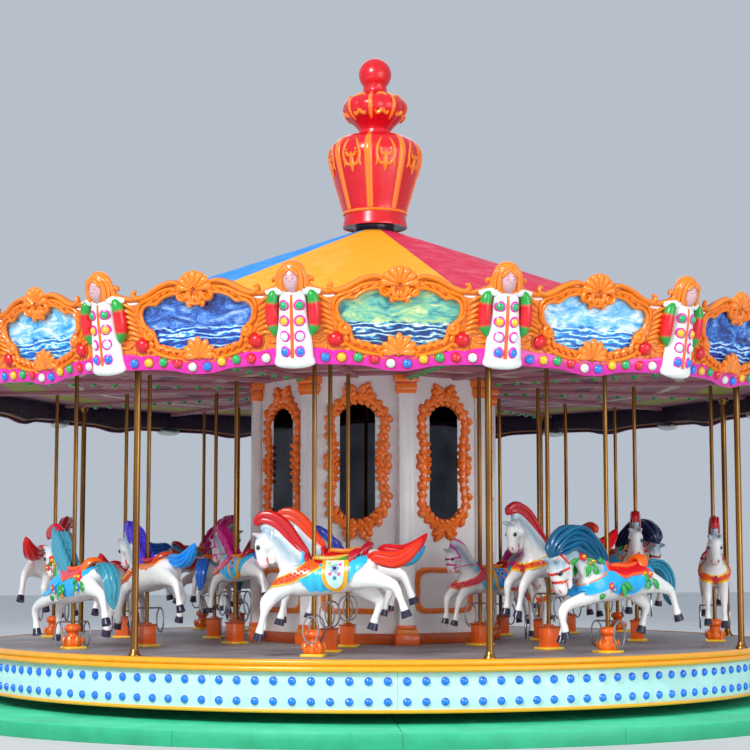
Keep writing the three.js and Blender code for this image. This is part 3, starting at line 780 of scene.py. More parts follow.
def mirror_frame():
    """A thick carved band with fat lobes along both its edges, a boss at each side and a pair of upright leaves at
    the top and at the foot."""
    line = np.array(both_ways(FRAME_LINE))
    line = np.vstack([line, line[:1]])
    parts = [ridge(line, 0.078, 0.036, "bright orange", closed=True, steps=1)]
    run = np.concatenate([[0], np.cumsum(np.linalg.norm(np.diff(line, axis=0), axis=1))])
    for i in range(38):
        place = (i + 0.5) / 38 * run[-1]
        behind, ahead = (np.array([np.interp(place + off, run, line[:, axis]) for axis in (0, 1)])
                         for off in (-0.012, 0.012))
        here = (behind + ahead) / 2
        slant = math.atan2(*(ahead - behind)[::-1])
        out = np.array([-math.sin(slant), math.cos(slant)])
        out = out if out @ here > 0 else -out
        size = 1.2 if i % 3 == 1 else 0.92
        parts.append(lobe(*(here + 0.028 * size * out), 0.037 * size, slant + 0.7, 0.054 * size))
        inner = 1.3 if abs(here[1]) > 0.42 else 0.95
        parts.append(lobe(*(here - 0.025 * inner ** 2 * out), 0.029 * inner, slant - 0.7, 0.046))
    ears = []
    for up in (-1, 1):
        ears.append(ridge([(0.01, 0.6 * up), (0.045, 0.655 * up), (0.072, 0.7 * up), (0.088, 0.725 * up)], 0.085, 0.05,
                          "bright orange", taper=0.5))
        for x, y, radius in ((0.09, 0.72, 0.04), (0.112, 0.67, 0.038), (0.045, 0.7, 0.038), (0.085, 0.63, 0.036),
                             (0.29, 0.03, 0.044), (0.195, 0.03, 0.03), (0.195, 0.1, 0.026), (0.198, 0.17, 0.024)):
            ears.append(lobe(x, y * up, radius, 0.9 * up, 0.058))
    parts += [mirrored(ear) for ear in ears]
    return placed(joined(parts), shift(0, MIRROR_HEIGHT, 0))


def dado_frame():
    """A flat frame with cut corners and a raised lip, low on the column's side."""
    def outline(half, height, cut):
        return both_ways(((0, height), (half - cut, height), (half, height - cut), (half, 0)))
    parts = []
    for half, height, band, depth, paint in ((0.345, 0.215, 0.05, 0.02, "bright orange"),
                                             (0.33, 0.2, 0.018, 0.032, "gold")):
        parts.append(panel([outline(half, height, 0.07), outline(half - band, height - band, 0.06)], depth, 0.005,
                           paint))
    return placed(joined(parts), shift(0, DADO_HEIGHT, 0))


def pilaster():
    """A white pilaster on the column's corner, with a stepped orange capital and base."""
    rise = CEILING_BOTTOM - DECK_TOP - 0.002
    parts = [placed(block(0.146, 0.078, rise, "white", 0.006), shift(0, 0, 0.001))]
    for bottom, width, depth, height, paint in (
        (0, 0.228, 0.118, 0.09, "orange"), (0.09, 0.2, 0.104, 0.05, "gold"), (0.14, 0.175, 0.094, 0.04, "orange"),
        (rise - 0.178, 0.172, 0.092, 0.03, "bright orange"), (rise - 0.148, 0.196, 0.102, 0.06, "bright orange"),
        (rise - 0.088, 0.186, 0.096, 0.02, "deep orange"), (rise - 0.068, 0.228, 0.118, 0.068, "bright orange"),
    ):
        parts.append(placed(block(width, depth, height, paint, 0.005), shift(0, 0, bottom)))
    for side in (-1, 1):
        parts.append(loft([(side * 0.035, -0.039, 0.3, 0.009, 0.003), (side * 0.035, -0.039, rise - 0.3, 0.009, 0.003)],
                          X_WAY, "white", 6, 1))
    return placed(joined(parts), shift(0, -COLUMN_RADIUS - 0.018, DECK_TOP))


def make_column():
    """Eight white panels, each with a mirror in a carved frame over a cut-corner dado frame, and pilasters between."""
    wall = [(COLUMN_RADIUS * math.sin(a), -COLUMN_RADIUS * math.cos(a))
            for a in (2 * BAY * i for i in range(COLUMN_SIDES))]
    hole = [(0.965 * x, 0.965 * y) for x, y in wall]
    shell = placed(panel([wall, hole], CEILING_BOTTOM - DECK_TOP - 0.001, 0.003, "white"),
                   shift(0, 0, DECK_TOP + 0.0005))
    on_turntable(piece("column_wall", shell, "gloss"), "column_panels", "centre_column")
    plinth = placed(block(0.92, 0.03, 0.1, "deep gold", 0.006), shift(0, -COLUMN_FLAT - 0.015, DECK_TOP + 0.001))
    frames = joined([on_side(mirror_frame()), on_side(dado_frame()), plinth])
    on_turntable(ring("column_frames", frames, "gloss", COLUMN_SIDES, BAY), "column_panels")
    glass = [(x, y + MIRROR_HEIGHT, 0) for x, y in both_ways(GLASS_EDGE)]
    mirrors = on_side(surface(glass, [tuple(range(len(glass)))], "black"), 0.006)
    on_turntable(ring("column_mirrors", mirrors, "mirror", COLUMN_SIDES, BAY), "column_panels")
    on_turntable(ring("column_pilasters", pilaster(), "gloss", COLUMN_SIDES), "column_panels")


# Canopy, roof, poles and finial

def make_canopy():
    """The ceiling in sixteen printed panels, sweeps between them with a row of green lamps, and the drop poles."""
    edge = CANOPY_FLAT * math.tan(BAY / 2)
    inner = 0.62
    share = inner / CANOPY_FLAT
    under, over = CEILING_BOTTOM, CEILING_TOP
    corners = [(-edge * share, -inner), (edge * share, -inner), (edge, -CANOPY_FLAT), (-edge, -CANOPY_FLAT)]
    points = [(x, y, z) for z in (under, over) for x, y in corners]
    faces = [(0, 1, 2, 3), (7, 6, 5, 4), (0, 3, 7, 4), (1, 0, 4, 5), (2, 1, 5, 6), (3, 2, 6, 7)]
    chart = [(0.5 + 0.5 * x / edge, (-y - inner) / (CANOPY_FLAT - inner)) for x, y, _ in points]
    panels = ring("ceiling_panels", surface(points, faces, "ceiling cream"), "print", first=BAY / 2, chart=chart)
    on_turntable(panels, "ceiling_panels", "canopy_frame")
    start, end = 1.28, BOARD_FOOT_FLAT / FLAT_OF_BAY - 0.1
    sweep = placed(block(0.076, end - start, SWEEP_DEPTH, "dusty pink", 0.006),
                   shift(0, -(start + end) / 2, CEILING_BOTTOM - SWEEP_DEPTH))
    on_turntable(ring("sweeps", sweep, "sheet", BAYS), "ceiling_panels")
    lamp = placed(dome(0.034, 0.03, "green", 10, 3), turn(math.pi, "X"), shift(0, -1.4, CEILING_BOTTOM - SWEEP_DEPTH))
    lamps = piece("sweep_lamps", lamp, "acrylic")
    on_turntable(by_rule(lamps, ROWS, "acrylic", Count=BAYS // 2, First=0.0, Along=13, Step=0.205), "ceiling_panels")
    pole = [(DROP_POLE_RADIUS, 0), (DROP_POLE_RADIUS, CEILING_BOTTOM - SWEEP_DEPTH - DECK_TOP - 0.0006)]
    collars = [(0.028, 0), (0.055, 0), (0.055, 0.012), (0.04, 0.03), (0.033, 0.06), (0.028, 0.062)]
    foot = revolved(collars, "gold", 16)
    head = placed(revolved(collars, "gold", 16), turn(math.pi, "X"), shift(0, 0, pole[1][1]))
    post = placed(joined([revolved(pole, "gold", 20), foot, head]), shift(0, -DROP_POLE_CIRCLE, DECK_TOP + 0.0003))
    made = ring("drop_poles", post, "brass", 8)
    on_turntable(made, "brass_tube", *[f"drop_pole_{i}" for i in range(1, 9)])


def make_roof():
    """Sixteen roof panels in pairs of colours, closed at the top by a round cap, with a flange down at the eave."""
    colours = ["roof red", "amber", "roof blue", "amber"]
    edge = CANOPY_FLAT - 0.004
    thickness = 0.025
    parts = []
    for i in range(BAYS):
        half = math.tan(BAY / 2) * 0.9985
        rows = ((edge, EAVE_HEIGHT), (APEX_RADIUS, APEX_HEIGHT), (APEX_RADIUS, APEX_HEIGHT - thickness),
                (edge - thickness, EAVE_HEIGHT - thickness), (edge - thickness, CEILING_TOP + 0.0005),
                (edge, CEILING_TOP + 0.0005))
        points = [(side * half * r, -r, z) for r, z in rows for side in (-1, 1)]
        faces = [(2 * k, 2 * k + 1, (2 * k + 3) % 12, (2 * k + 2) % 12) for k in range(6)]
        faces += [tuple(range(0, 12, 2)), tuple(range(11, 0, -2))]
        colour = colours[((i + 8) // 2) % 4]
        parts.append(placed(surface(points, faces, colour), turn(BAY * (i + 0.5))))
    low, high = APEX_HEIGHT - 0.02, APEX_HEIGHT - 0.0005
    cap = [(0, low), (APEX_RADIUS, low), (APEX_RADIUS - 0.002, high), (0, high)]
    parts.append(revolved(cap, "amber", 32))
    on_turntable(piece("roof", joined(parts), "satin", crease=25), "roof_panels", "canopy_roof")


def make_finial():
    """The red crown: a vase, a gourd and a ball, with orange ribs and gold scrolls on the vase and the gourd."""
    def pumpkin(depth):
        return lambda angle, height: 1 - depth * (1 - np.abs(np.cos(4 * angle + math.pi / 2))) ** 2

    vase = [(0.2, APEX_HEIGHT), (0.2, 4.812), (0.3, 4.808), (0.324, 4.8), (0.332, 4.808), (0.324, 4.86), (0.314, 4.925),
            (0.316, 4.935), (0.326, 4.955), (0.33, 4.98), (0.364, 5.1), (0.412, 5.26), (0.45, 5.4), (0.472, 5.5),
            (0.475, 5.56), (0.46, 5.62), (0.425, 5.672), (0.37, 5.715), (0.3, 5.742), (0.21, 5.754), (0.172, 5.762),
            (0.165, VASE_TOP - 0.0005)]
    points, faces, paints = revolved(smoothed(vase, 2), "red", 96, pumpkin(0.012))
    # The underside round the neck is painted near-black as painted shade.
    paints[(points[:, 2] < 4.85) & (np.hypot(points[:, 0], points[:, 1]) < 0.318)] = linear("night")
    on_turntable(piece("vase", (points, faces, paints), "gloss", crease=50), "finial_shell", "finial_vase")
    gourd = [(0.165, VASE_TOP), (0.175, 5.83), (0.2, 5.862), (0.235, 5.893), (0.275, 5.928), (0.31, 5.97), (0.33, 6.02),
             (0.333, 6.055), (0.318, 6.1), (0.275, 6.145), (0.205, 6.185), (0.145, 6.205), (0.125, 6.22),
             (0.125, 6.2495)]
    on_turntable(piece("gourd", revolved(smoothed(gourd, 2), "red", 96, pumpkin(0.045)), "gloss", crease=50),
                 "finial_shell", "finial_gourd")
    ball = [(0.12, 6.25)] + [(BALL_RADIUS * math.cos(t), BALL_HEIGHT + BALL_RADIUS * math.sin(t))
                             for t in np.linspace(-0.78, math.pi / 2 - 0.01, 22)]
    on_turntable(piece("ball", revolved(ball, "red", 48), "gloss", crease=50), "finial_shell", "finial_ball")
    hoop = [(0.318 + 0.016 * math.cos(t), 4.945 + 0.016 * math.sin(t)) for t in np.linspace(0, TAU, 9)]
    on_turntable(piece("finial_ring", revolved(hoop, "bright orange", 48), "gloss"), "finial_shell")

    def on_shell(profile, spots, out):
        heights = np.array([z for _, z in profile])
        radii = np.array([r for r, _ in profile])
        return [(x, -float(np.interp(z, heights, radii)) - out + x * x / 0.9, z, w, d) for x, z, w, d in spots]
    ribs = [loft(on_shell(vase[7:], ((0, 4.965, 0.03, 0.01), (0, 5.13, 0.034, 0.014), (0, 5.4, 0.04, 0.016),
                                     (0, 5.55, 0.042, 0.018), (0, 5.66, 0.034, 0.014), (0, 5.725, 0.02, 0.008)),
                          -0.004), X_WAY, "bright orange", 8, 4),
            loft(on_shell(gourd, ((0, 5.9, 0.012, 0.006), (0, 5.95, 0.022, 0.011), (0, 6.04, 0.026, 0.013),
                                  (0, 6.12, 0.022, 0.012), (0, 6.18, 0.012, 0.007)), -0.004), X_WAY, "bright orange", 8,
                 3)]
    on_turntable(ring("finial_ribs", joined(ribs), "gloss", 8, BAY), "finial_shell")
    carving = []
    up, level = X_WAY, Z_WAY
    for way in (-1, 1):
        for shell, direction, spots in (
            (vase[7:], up, ((0.045, 5.65, 0.008), (0.078, 5.58, 0.016), (0.094, 5.49, 0.016), (0.08, 5.42, 0.017),
                            (0.095, 5.37, 0.008))),
            (vase[7:], level, ((0, 5.485, 0.018), (0.03, 5.475, 0.018), (0.055, 5.51, 0.015), (0.05, 5.55, 0.006))),
            (vase[7:], level, ((0, 5.41, 0.016), (0.028, 5.385, 0.02), (0.06, 5.4, 0.016), (0.066, 5.44, 0.006))),
            (gourd, level, ((0, 5.98, 0.022), (0.025, 5.955, 0.022), (0.055, 5.945, 0.018), (0.068, 5.97, 0.006))),
            (gourd, level, ((0, 6.155, 0.018), (0.03, 6.15, 0.015), (0.052, 6.13, 0.006))),
        ):
            carving.append(loft(on_shell(shell, [(way * x, z, w, 0.8 * w) for x, z, w in spots], 0.0), direction,
                                "gold", 6, 2))
    carving.append(loft(on_shell(vase[7:], ((0, 5.51, 0.008, 0.006), (0, 5.45, 0.022, 0.016), (0, 5.38, 0.026, 0.018),
                                            (0, 5.315, 0.008, 0.006)), 0.002),
                        up, "gold", 6, 3))
    on_turntable(ring("finial_carving", joined(carving), "gloss", 8), "finial_shell")


# Rounding boards, drawn flat: X to the right, Y up the slope and Z out of the board's face

CARTOUCHE = ((0, 0.535), (0.06, 0.545), (0.1, 0.58), (0.13, 0.61), (0.18, 0.625), (0.27, 0.605), (0.32, 0.575),
             (0.36, 0.545), (0.42, 0.55), (0.47, 0.525), (0.495, 0.47), (0.485, 0.41), (0.455, 0.355), (0.405, 0.325),
             (0.385, 0.27), (0.365, 0.215), (0.31, 0.185), (0.2, 0.16), (0.08, 0.15), (0, 0.15))
PLATE = ((0, 0.72), (0.09, 0.72), (0.16, 0.7), (0.25, 0.695), (0.33, 0.67), (0.42, 0.63), (0.5, 0.605), (0.62, 0.605),
         (0.74, 0.6), (0.8, 0.595), (0.8, 0.06), (0.6, 0.05), (0.3, 0.04), (0.15, 0.02), (0, 0.0))
STRIP = ((0, 0.085), (0.08, 0.1), (0.2, 0.1), (0.32, 0.12), (0.44, 0.135), (0.52, 0.13), (0.62, 0.15), (0.73, 0.145),
         (0.79, 0.12), (0.8, 0.035), (0.77, 0.022), (0.6, 0.02), (0.3, 0.012), (0.18, -0.01), (0.08, -0.028),
         (0, -0.03))


def board_crest():
    """Right half of the carving along the top: the shell, its volute, the two rolls and their curls."""
    parts = []
    for i in range(4):
        spread = math.radians(26) * i
        way = (math.sin(spread), math.cos(spread))
        stations = [(r * way[0], 0.645 + r * way[1], h - 0.008, 0.21 * r + 0.006, 0.026)
                    for r, h in ((0.03, 0.02), (0.065, 0.028), (0.1, 0.034), (0.126, 0.03), (0.138, 0.01))]
        parts.append(loft(stations, (way[1], -way[0], 0), "gold", 8, 2))
    parts.append(ridge([(0.155, 0.665), (0.135, 0.63), (0.11, 0.645)] + curl(0.105, 0.602, 0.05, 1.4, 1.1, -1), 0.04,
                       0.046, "gold"))
    parts.append(ridge([(0, 0.66), (0.045, 0.645), (0.06, 0.61), (0.04, 0.57), (0, 0.535)], 0.055, 0.036, "gold"))
    parts.append(leaf((0.014, 0.62), (0.032, 0.53), -0.1, 0.04, 0.034))
    parts.append(leaf((0.07, 0.57), (0.03, 0.51), 0.25, 0.036, 0.028))
    outer_roll = [(0.1, 0.665), (0.14, 0.7), (0.19, 0.715), (0.27, 0.7), (0.35, 0.665), (0.42, 0.625), (0.49, 0.6),
                  (0.53, 0.605), (0.55, 0.63), (0.54, 0.655), (0.52, 0.65)]
    parts.append(ridge(outer_roll, 0.05, 0.044, "gold", taper=0.5))
    inner_roll = [(0.12, 0.62), (0.17, 0.655), (0.22, 0.662), (0.3, 0.645), (0.37, 0.605), (0.43, 0.585), (0.49, 0.56),
                  (0.52, 0.5), (0.515, 0.43)]
    parts.append(ridge(inner_roll, 0.044, 0.034, "gold", taper=0.4))
    outer_scroll = [(0.5, 0.6), (0.57, 0.595), (0.64, 0.606), (0.7, 0.628), (0.728, 0.665), (0.71, 0.698),
                    (0.685, 0.692), (0.69, 0.672)]
    parts.append(ridge(outer_scroll, 0.048, 0.042, "gold", taper=0.55))
    for u, v in ((0.2, 0.685), (0.275, 0.675), (0.345, 0.64), (0.41, 0.605)):
        parts.append(leaf((u - 0.05, v + 0.012), (u + 0.055, v - 0.042), -0.25, 0.034, 0.028))
    parts.append(ridge([(0.47, 0.57), (0.58, 0.556), (0.68, 0.565), (0.76, 0.56)], 0.026, 0.014, "white", taper=0.4))
    return parts


def board_sides():
    """Right half of the carving beside the painting: the feathers, the knob scroll, the dome and its leaves."""
    parts = []
    for i in range(7):
        v = 0.515 - 0.042 * i
        inner = 0.535 - 0.012 * abs(i - 1.5)
        parts.append(leaf((inner, v - 0.03), (0.73 - 0.012 * i, v + 0.012 - 0.004 * i), 0.22, 0.04, 0.028))
    parts.append(ridge([(0.525, 0.46), (0.505, 0.4), (0.46, 0.36)] + curl(0.42, 0.305, 0.054, 1.2, 1.0, -1), 0.05,
                       0.046, "gold"))
    parts.append(placed(dome(0.034, 0.046, "gold", 9, 3), shift(0.42, 0.305, 0)))
    for angle in (100, 140, 178, 216):
        a = math.radians(angle)
        parts.append(ridge(curl(0.5 + 0.09 * math.cos(a), 0.22 + 0.09 * math.sin(a), 0.026, a + 1.6, 0.7), 0.028, 0.03,
                           "gold"))
    for angle in (-70, -30, 10, 52):
        a = math.radians(angle)
        root = (0.5 + 0.07 * math.cos(a), 0.22 + 0.07 * math.sin(a))
        tip = (0.5 + 0.125 * math.cos(a - 0.5), 0.22 + 0.12 * math.sin(a - 0.5))
        parts.append(leaf(root, tip, 0.2, 0.028, 0.02))
    parts.append(leaf((0.6, 0.19), (0.76, 0.175), 0.15, 0.032, 0.024))
    parts.append(leaf((0.6, 0.245), (0.77, 0.22), 0.12, 0.032, 0.024))
    return parts


def board_foot():
    """Right half of the carving under the painting: the fan of lobes in the middle and the spray beside it."""
    parts = [ridge([(0, 0.135), (0, 0.1), (0, 0.06)], 0.06, 0.044, "gold", taper=0.2)]
    for angle, reach in ((0, 0.15), (30, 0.145), (58, 0.14), (84, 0.125)):
        way = (math.sin(math.radians(angle)), math.cos(math.radians(angle)))
        stations = [(r * reach * way[0], 0.11 + r * reach * way[1], h - 0.012, w, 0.022)
                    for r, h, w in ((0.1, 0.02, 0.012), (0.5, 0.036, 0.028), (0.85, 0.038, 0.032), (1, 0.02, 0.02))]
        parts.append(loft(stations, (way[1], -way[0], 0), "gold", 8, 2))
    parts.append(ridge([(0.03, 0.095), (0.08, 0.078)] + curl(0.11, 0.105, 0.036, -1.2, 0.9), 0.036, 0.04, "gold"))
    stem = [(0.1, 0.092), (0.2, 0.1), (0.3, 0.122), (0.38, 0.155), (0.43, 0.2)]
    parts.append(ridge(stem, 0.044, 0.042, "gold", taper=0.5))
    for share, reach in ((0.15, 0.085), (0.35, 0.095), (0.55, 0.09), (0.75, 0.08), (0.92, 0.065)):
        x = 0.1 + 0.33 * share
        y = 0.09 + 0.02 * share + 0.1 * share ** 2
        parts.append(leaf((x, y), (x + reach * 0.75, y + reach * 0.95), 0.2, 0.042, 0.036))
        parts.append(leaf((x + 0.01, y - 0.005), (x + reach * 1.15, y - reach * 0.12), -0.2, 0.036, 0.03))
    return parts


def on_boards(name, parts, finish, *nodes, first=BAY / 2, **more):
    """A piece of flat drawings that stand up on the face of every leaning board."""
    stand = (turn(math.pi / 2 + BOARD_LEAN, "X"), shift(0, -BOARD_FOOT_FLAT, BOARD_FOOT_HEIGHT))
    on_turntable(ring(name, placed(joined(parts), *stand), finish, first=first, **more), "board_shells", *nodes)


def make_boards():
    """Sixteen carved boards, each with a painting in a cartouche, and a magenta strip with ten lamp caps."""
    plate, hole, strip = whole(PLATE, 1), whole(CARTOUCHE), whole(STRIP)
    # The back of each board is painted near-black as painted shade.
    back = placed(panel([plate], 0.03, 0.004, "night"), shift(0, 0, -0.058))
    front = placed(panel([plate, hole], 0.03, 0.008, "gold"), shift(0, 0, -0.03))
    lower = placed(panel([strip], 0.024, 0.008, "magenta"), shift(0, 0, -0.002))
    # The back of the magenta strip is painted near-black as painted shade.
    lower[2][lower[0][:, 2] < 0.002] = linear("night")
    on_boards("board_shells", [back, front, lower], "gloss", *[f"rounding_boards_{i}" for i in range(1, 9)])
    rim = ridge(hole + hole[:1], 0.036, 0.026, "gold", closed=True, steps=1)
    halves = board_crest() + board_sides() + board_foot()
    on_boards("board_carving", [rim] + [mirrored(half) for half in halves], "gloss", crease=60)
    painting = surface([(x, y, -0.026) for x, y in hole], [tuple(range(len(hole)))], "white")
    on_boards("board_paintings", [painting], "scene", first=BAY * 8.5, chart=hole)
    domes = revolved([(0.063, -0.004), (0.06, 0.015), (0.05, 0.034), (0.032, 0.049), (0.012, 0.055), (0.0005, 0.056)],
                     "red", 36, lambda angle, height: 1 - 0.07 * np.abs(np.cos(6 * angle)))
    seats = revolved([(0.07, -0.004), (0.07, 0.008), (0.062, 0.012)], "deep gold", 20)
    on_boards("board_domes", [mirrored(placed(joined([domes, seats]), shift(0.5, 0.22, 0)))], "gloss")
    caps, rims = [], []
    for i in range(10):
        u = (i - 4.5) * 0.129
        v = 0.078 - 0.056 * math.exp(-(u / 0.16) ** 2)
        colour = ("lamp blue", "lamp yellow", "lamp green", "lamp red", "lamp white")[i % 5]
        caps.append(placed(dome(0.038, 0.03, colour, 12, 3), shift(u, v, 0.026)))
        rims.append(placed(dome(0.047, 0.01, "crimson", 12, 1), shift(u, v, 0.022)))
    on_boards("board_lamps", caps, "acrylic")
    on_boards("board_lamp_rims", rims, "gloss")
    inward = (turn(math.pi / 2, "X"), turn(math.pi), shift(0, -CANOPY_FLAT - 0.006, BOARD_FOOT_HEIGHT + 0.12))
    bulb = placed(dome(0.024, 0.03, "lamp green", 8, 3), *inward)
    inner_row = joined([placed(bulb, shift(0.14 * (i - 4.5), 0, 0)) for i in range(10)])
    on_turntable(ring("inner_board_lamps", inner_row, "acrylic", first=BAY / 2), "board_shells")


# Figures between the boards, drawn flat like them

ROBE = ((0.005, 0.0, 0.12, 0.045), (0.018, 0.005, 0.156, 0.07), (0.045, 0.012, 0.162, 0.086),
        (0.085, 0.012, 0.15, 0.08), (0.15, 0.01, 0.146, 0.08), (0.24, 0.008, 0.14, 0.078), (0.34, 0.008, 0.122, 0.074),
        (0.45, 0.008, 0.112, 0.07), (0.54, 0.006, 0.108, 0.062), (0.585, 0.004, 0.085, 0.05), (0.605, 0.0, 0.05, 0.035))


def robe_front(x, y):
    """How far the robe stands out at a place."""
    heights = [row[0] for row in ROBE]
    out, wide, deep = (float(np.interp(y, heights, [row[i] for row in ROBE])) for i in (1, 2, 3))
    return out + deep * math.sqrt(max(0.02, 1 - (x / wide) ** 2))


def figure_robe():
    """A long white robe with soft folds, a centre band, puffed sleeves and a collar."""
    robe = loft([(0, v, z, w, d) for v, z, w, d in ROBE], X_WAY, "white", 22, 2)
    points, faces, paints = robe
    fold = 1 + 0.05 * np.cos(np.arctan2(points[:, 2], points[:, 0]) * 9) * np.clip((0.3 - points[:, 1]) / 0.25, 0, 1)
    points[:, 2] *= fold
    # The back of the robe is painted near-black as painted shade.
    paints[points[:, 2] < -0.03] = linear("night")
    parts = [(points, faces, paints)]
    band = [(0, v, robe_front(0, v) - 0.003, 0.017, 0.009) for v in np.linspace(0.075, 0.57, 9)]
    parts.append(loft(band, X_WAY, "orange", 6, 1))
    for way in (-1, 1):
        rows = ((0.125, 0.6, 0.012, 0.02), (0.15, 0.578, 0.036, 0.042), (0.166, 0.52, 0.048, 0.052),
                (0.172, 0.43, 0.052, 0.056), (0.168, 0.34, 0.047, 0.05), (0.156, 0.28, 0.03, 0.036),
                (0.146, 0.245, 0.008, 0.012))
        sleeve = loft([(way * x, v, 0.012, w, d) for x, v, w, d in rows], X_WAY, "green", 10, 3)
        red = (sleeve[0][:, 1] > 0.325) & (sleeve[0][:, 1] < 0.505)
        sleeve[2][red] = linear("red")
        parts.append(sleeve)
        parts.append(loft([(way * 0.05, 0.605, 0.03, 0.03, 0.02), (way * 0.1, 0.6, 0.02, 0.035, 0.03),
                           (way * 0.19, 0.585, -0.01, 0.03, 0.02), (way * 0.22, 0.6, -0.02, 0.01, 0.01)], Y_WAY,
                          "white", 8, 2))
        for v in (0.08, 0.23):
            parts.append(loft([(way * 0.105, v - 0.03, robe_front(0.105, v) - 0.01, 0.012, 0.008),
                               (way * 0.095, v + 0.06, robe_front(0.095, v + 0.06) - 0.006, 0.016, 0.01),
                               (way * 0.088, v + 0.15, robe_front(0.088, v + 0.15) - 0.01, 0.008, 0.006)], X_WAY,
                              "white", 6, 2))
    return parts


def figure_head():
    """A plain calm doll's face in a gold bob of hair with carved locks and a fringe."""
    hair = ((0.595, -0.005, 0.09, 0.05), (0.62, 0.0, 0.112, 0.07), (0.68, 0.0, 0.12, 0.08), (0.74, 0.0, 0.116, 0.084),
            (0.79, 0.0, 0.094, 0.075), (0.825, 0.0, 0.06, 0.05), (0.84, 0.0, 0.02, 0.02))
    parts = [loft([(0, v, z, w, d) for v, z, w, d in hair], X_WAY, "gold", 16, 2)]
    face = ((0.6, 0.04, 0.012, 0.014), (0.612, 0.05, 0.032, 0.032), (0.635, 0.055, 0.048, 0.046),
            (0.67, 0.058, 0.059, 0.052), (0.71, 0.056, 0.062, 0.05), (0.745, 0.05, 0.052, 0.042),
            (0.77, 0.04, 0.03, 0.03))
    parts.append(loft([(0, v, z, w, d) for v, z, w, d in face], X_WAY, "#CBA2A8", 16, 2))
    parts.append(loft([(0, 0.705, 0.104, 0.005, 0.004), (0, 0.685, 0.112, 0.008, 0.008),
                       (0, 0.677, 0.108, 0.008, 0.006)], X_WAY, "#CBA2A8", 8, 2))
    parts.append(loft([(-0.014, 0.651, 0.096, 0.003, 0.003), (0, 0.649, 0.1, 0.006, 0.005),
                       (0.014, 0.651, 0.096, 0.003, 0.003)], Y_WAY, "#C9576A", 6, 2))
    for way in (-1, 1):
        parts.append(loft([(way * 0.012, 0.703, 0.101, 0.002, 0.002), (way * 0.023, 0.7, 0.102, 0.006, 0.004),
                           (way * 0.034, 0.703, 0.096, 0.002, 0.002)],
                          Y_WAY, "#3A2A30", 6, 2))
        parts.append(loft([(way * 0.01, 0.722, 0.098, 0.002, 0.002), (way * 0.024, 0.727, 0.098, 0.003, 0.003),
                           (way * 0.038, 0.72, 0.09, 0.002, 0.002)],
                          Y_WAY, "deep gold", 6, 2))
        for x, out, low in ((0.078, 0.062, 0.6), (0.1, 0.035, 0.6), (0.112, 0.005, 0.605)):
            parts.append(loft([(way * 0.02, 0.79, out + 0.012, 0.012, 0.01),
                               (way * x * 0.85, 0.76, out + 0.012, 0.018, 0.014), (way * x, 0.69, out, 0.02, 0.016),
                               (way * x * 1.02, 0.63, out, 0.018, 0.014), (way * x * 0.9, low, out, 0.008, 0.008)],
                              X_WAY, "gold", 7, 2))
        parts.append(loft([(way * 0.004, 0.775, 0.085, 0.012, 0.01), (way * 0.035, 0.757, 0.092, 0.016, 0.012),
                           (way * 0.062, 0.72, 0.082, 0.01, 0.008)],
                          Y_WAY, "gold", 7, 2))
    return parts


def make_figures():
    """Sixteen robed figures over the joints of the boards, with four pairs of jewelled buttons each."""
    lean = math.atan((BOARD_HEAD_RADIUS - BOARD_FOOT_RADIUS) / (BOARD_HEAD_HEIGHT - BOARD_FOOT_HEIGHT))
    stand = (turn(math.pi / 2 + lean, "X"), shift(0, -BOARD_FOOT_RADIUS, BOARD_FOOT_HEIGHT))
    on_turntable(ring("figures", placed(joined(figure_robe() + figure_head()), *stand), "gloss", crease=60),
                 "board_shells")
    buttons, seats = [], []
    for v, colour in ((0.485, "lamp green"), (0.365, "lamp yellow"), (0.245, "lamp white"), (0.125, "lamp blue")):
        for way in (-1, 1):
            out = robe_front(0.062, v)
            aside = turn(way * 0.42, "Y")
            buttons.append(placed(dome(0.035, 0.028, colour, 12, 3), aside, shift(way * 0.062, v, out + 0.003)))
            seats.append(placed(dome(0.048, 0.012, "magenta", 14, 2), aside, shift(way * 0.062, v, out - 0.001)))
    on_turntable(ring("figure_buttons", placed(joined(buttons), *stand), "acrylic"), "board_shells")
    on_turntable(ring("figure_button_seats", placed(joined(seats), *stand), "gloss"), "board_shells")


# Horses: X is backward, Z up from the front hooves, and the pole stands at the origin. The stations of a limb
# are x, y, z, half its width across the horse and half its depth.

TRUNK = ((-0.305, 0, 0.515, 0.02, 0.03), (-0.287, 0, 0.51, 0.075, 0.08), (-0.24, 0, 0.5, 0.112, 0.121),
         (-0.16, 0, 0.5, 0.135, 0.144), (-0.045, 0, 0.505, 0.142, 0.147), (0.1, 0, 0.51, 0.146, 0.14),
         (0.25, 0, 0.53, 0.146, 0.136), (0.36, 0, 0.553, 0.142, 0.137), (0.45, 0, 0.567, 0.118, 0.118),
         (0.51, 0, 0.572, 0.072, 0.08), (0.53, 0, 0.572, 0.02, 0.03))
HEAD = ((-0.33, 0, 0.875, 0.03, 0.04), (-0.385, 0, 0.855, 0.058, 0.062), (-0.42, 0, 0.8, 0.066, 0.076),
        (-0.432, 0, 0.735, 0.058, 0.064), (-0.433, 0, 0.675, 0.047, 0.05), (-0.425, 0, 0.63, 0.048, 0.047),
        (-0.416, 0, 0.6, 0.037, 0.034), (-0.412, 0, 0.585, 0.015, 0.014))
JAW = ((-0.36, 0, 0.79, 0.056, 0.062), (-0.352, 0, 0.735, 0.047, 0.053), (-0.352, 0, 0.685, 0.034, 0.036),
       (-0.353, 0, 0.645, 0.032, 0.03), (-0.358, 0, 0.62, 0.018, 0.016))
POLL = (-0.34, 0, 0.86)
MUZZLE = Vector((-0.42, 0, 0.6))
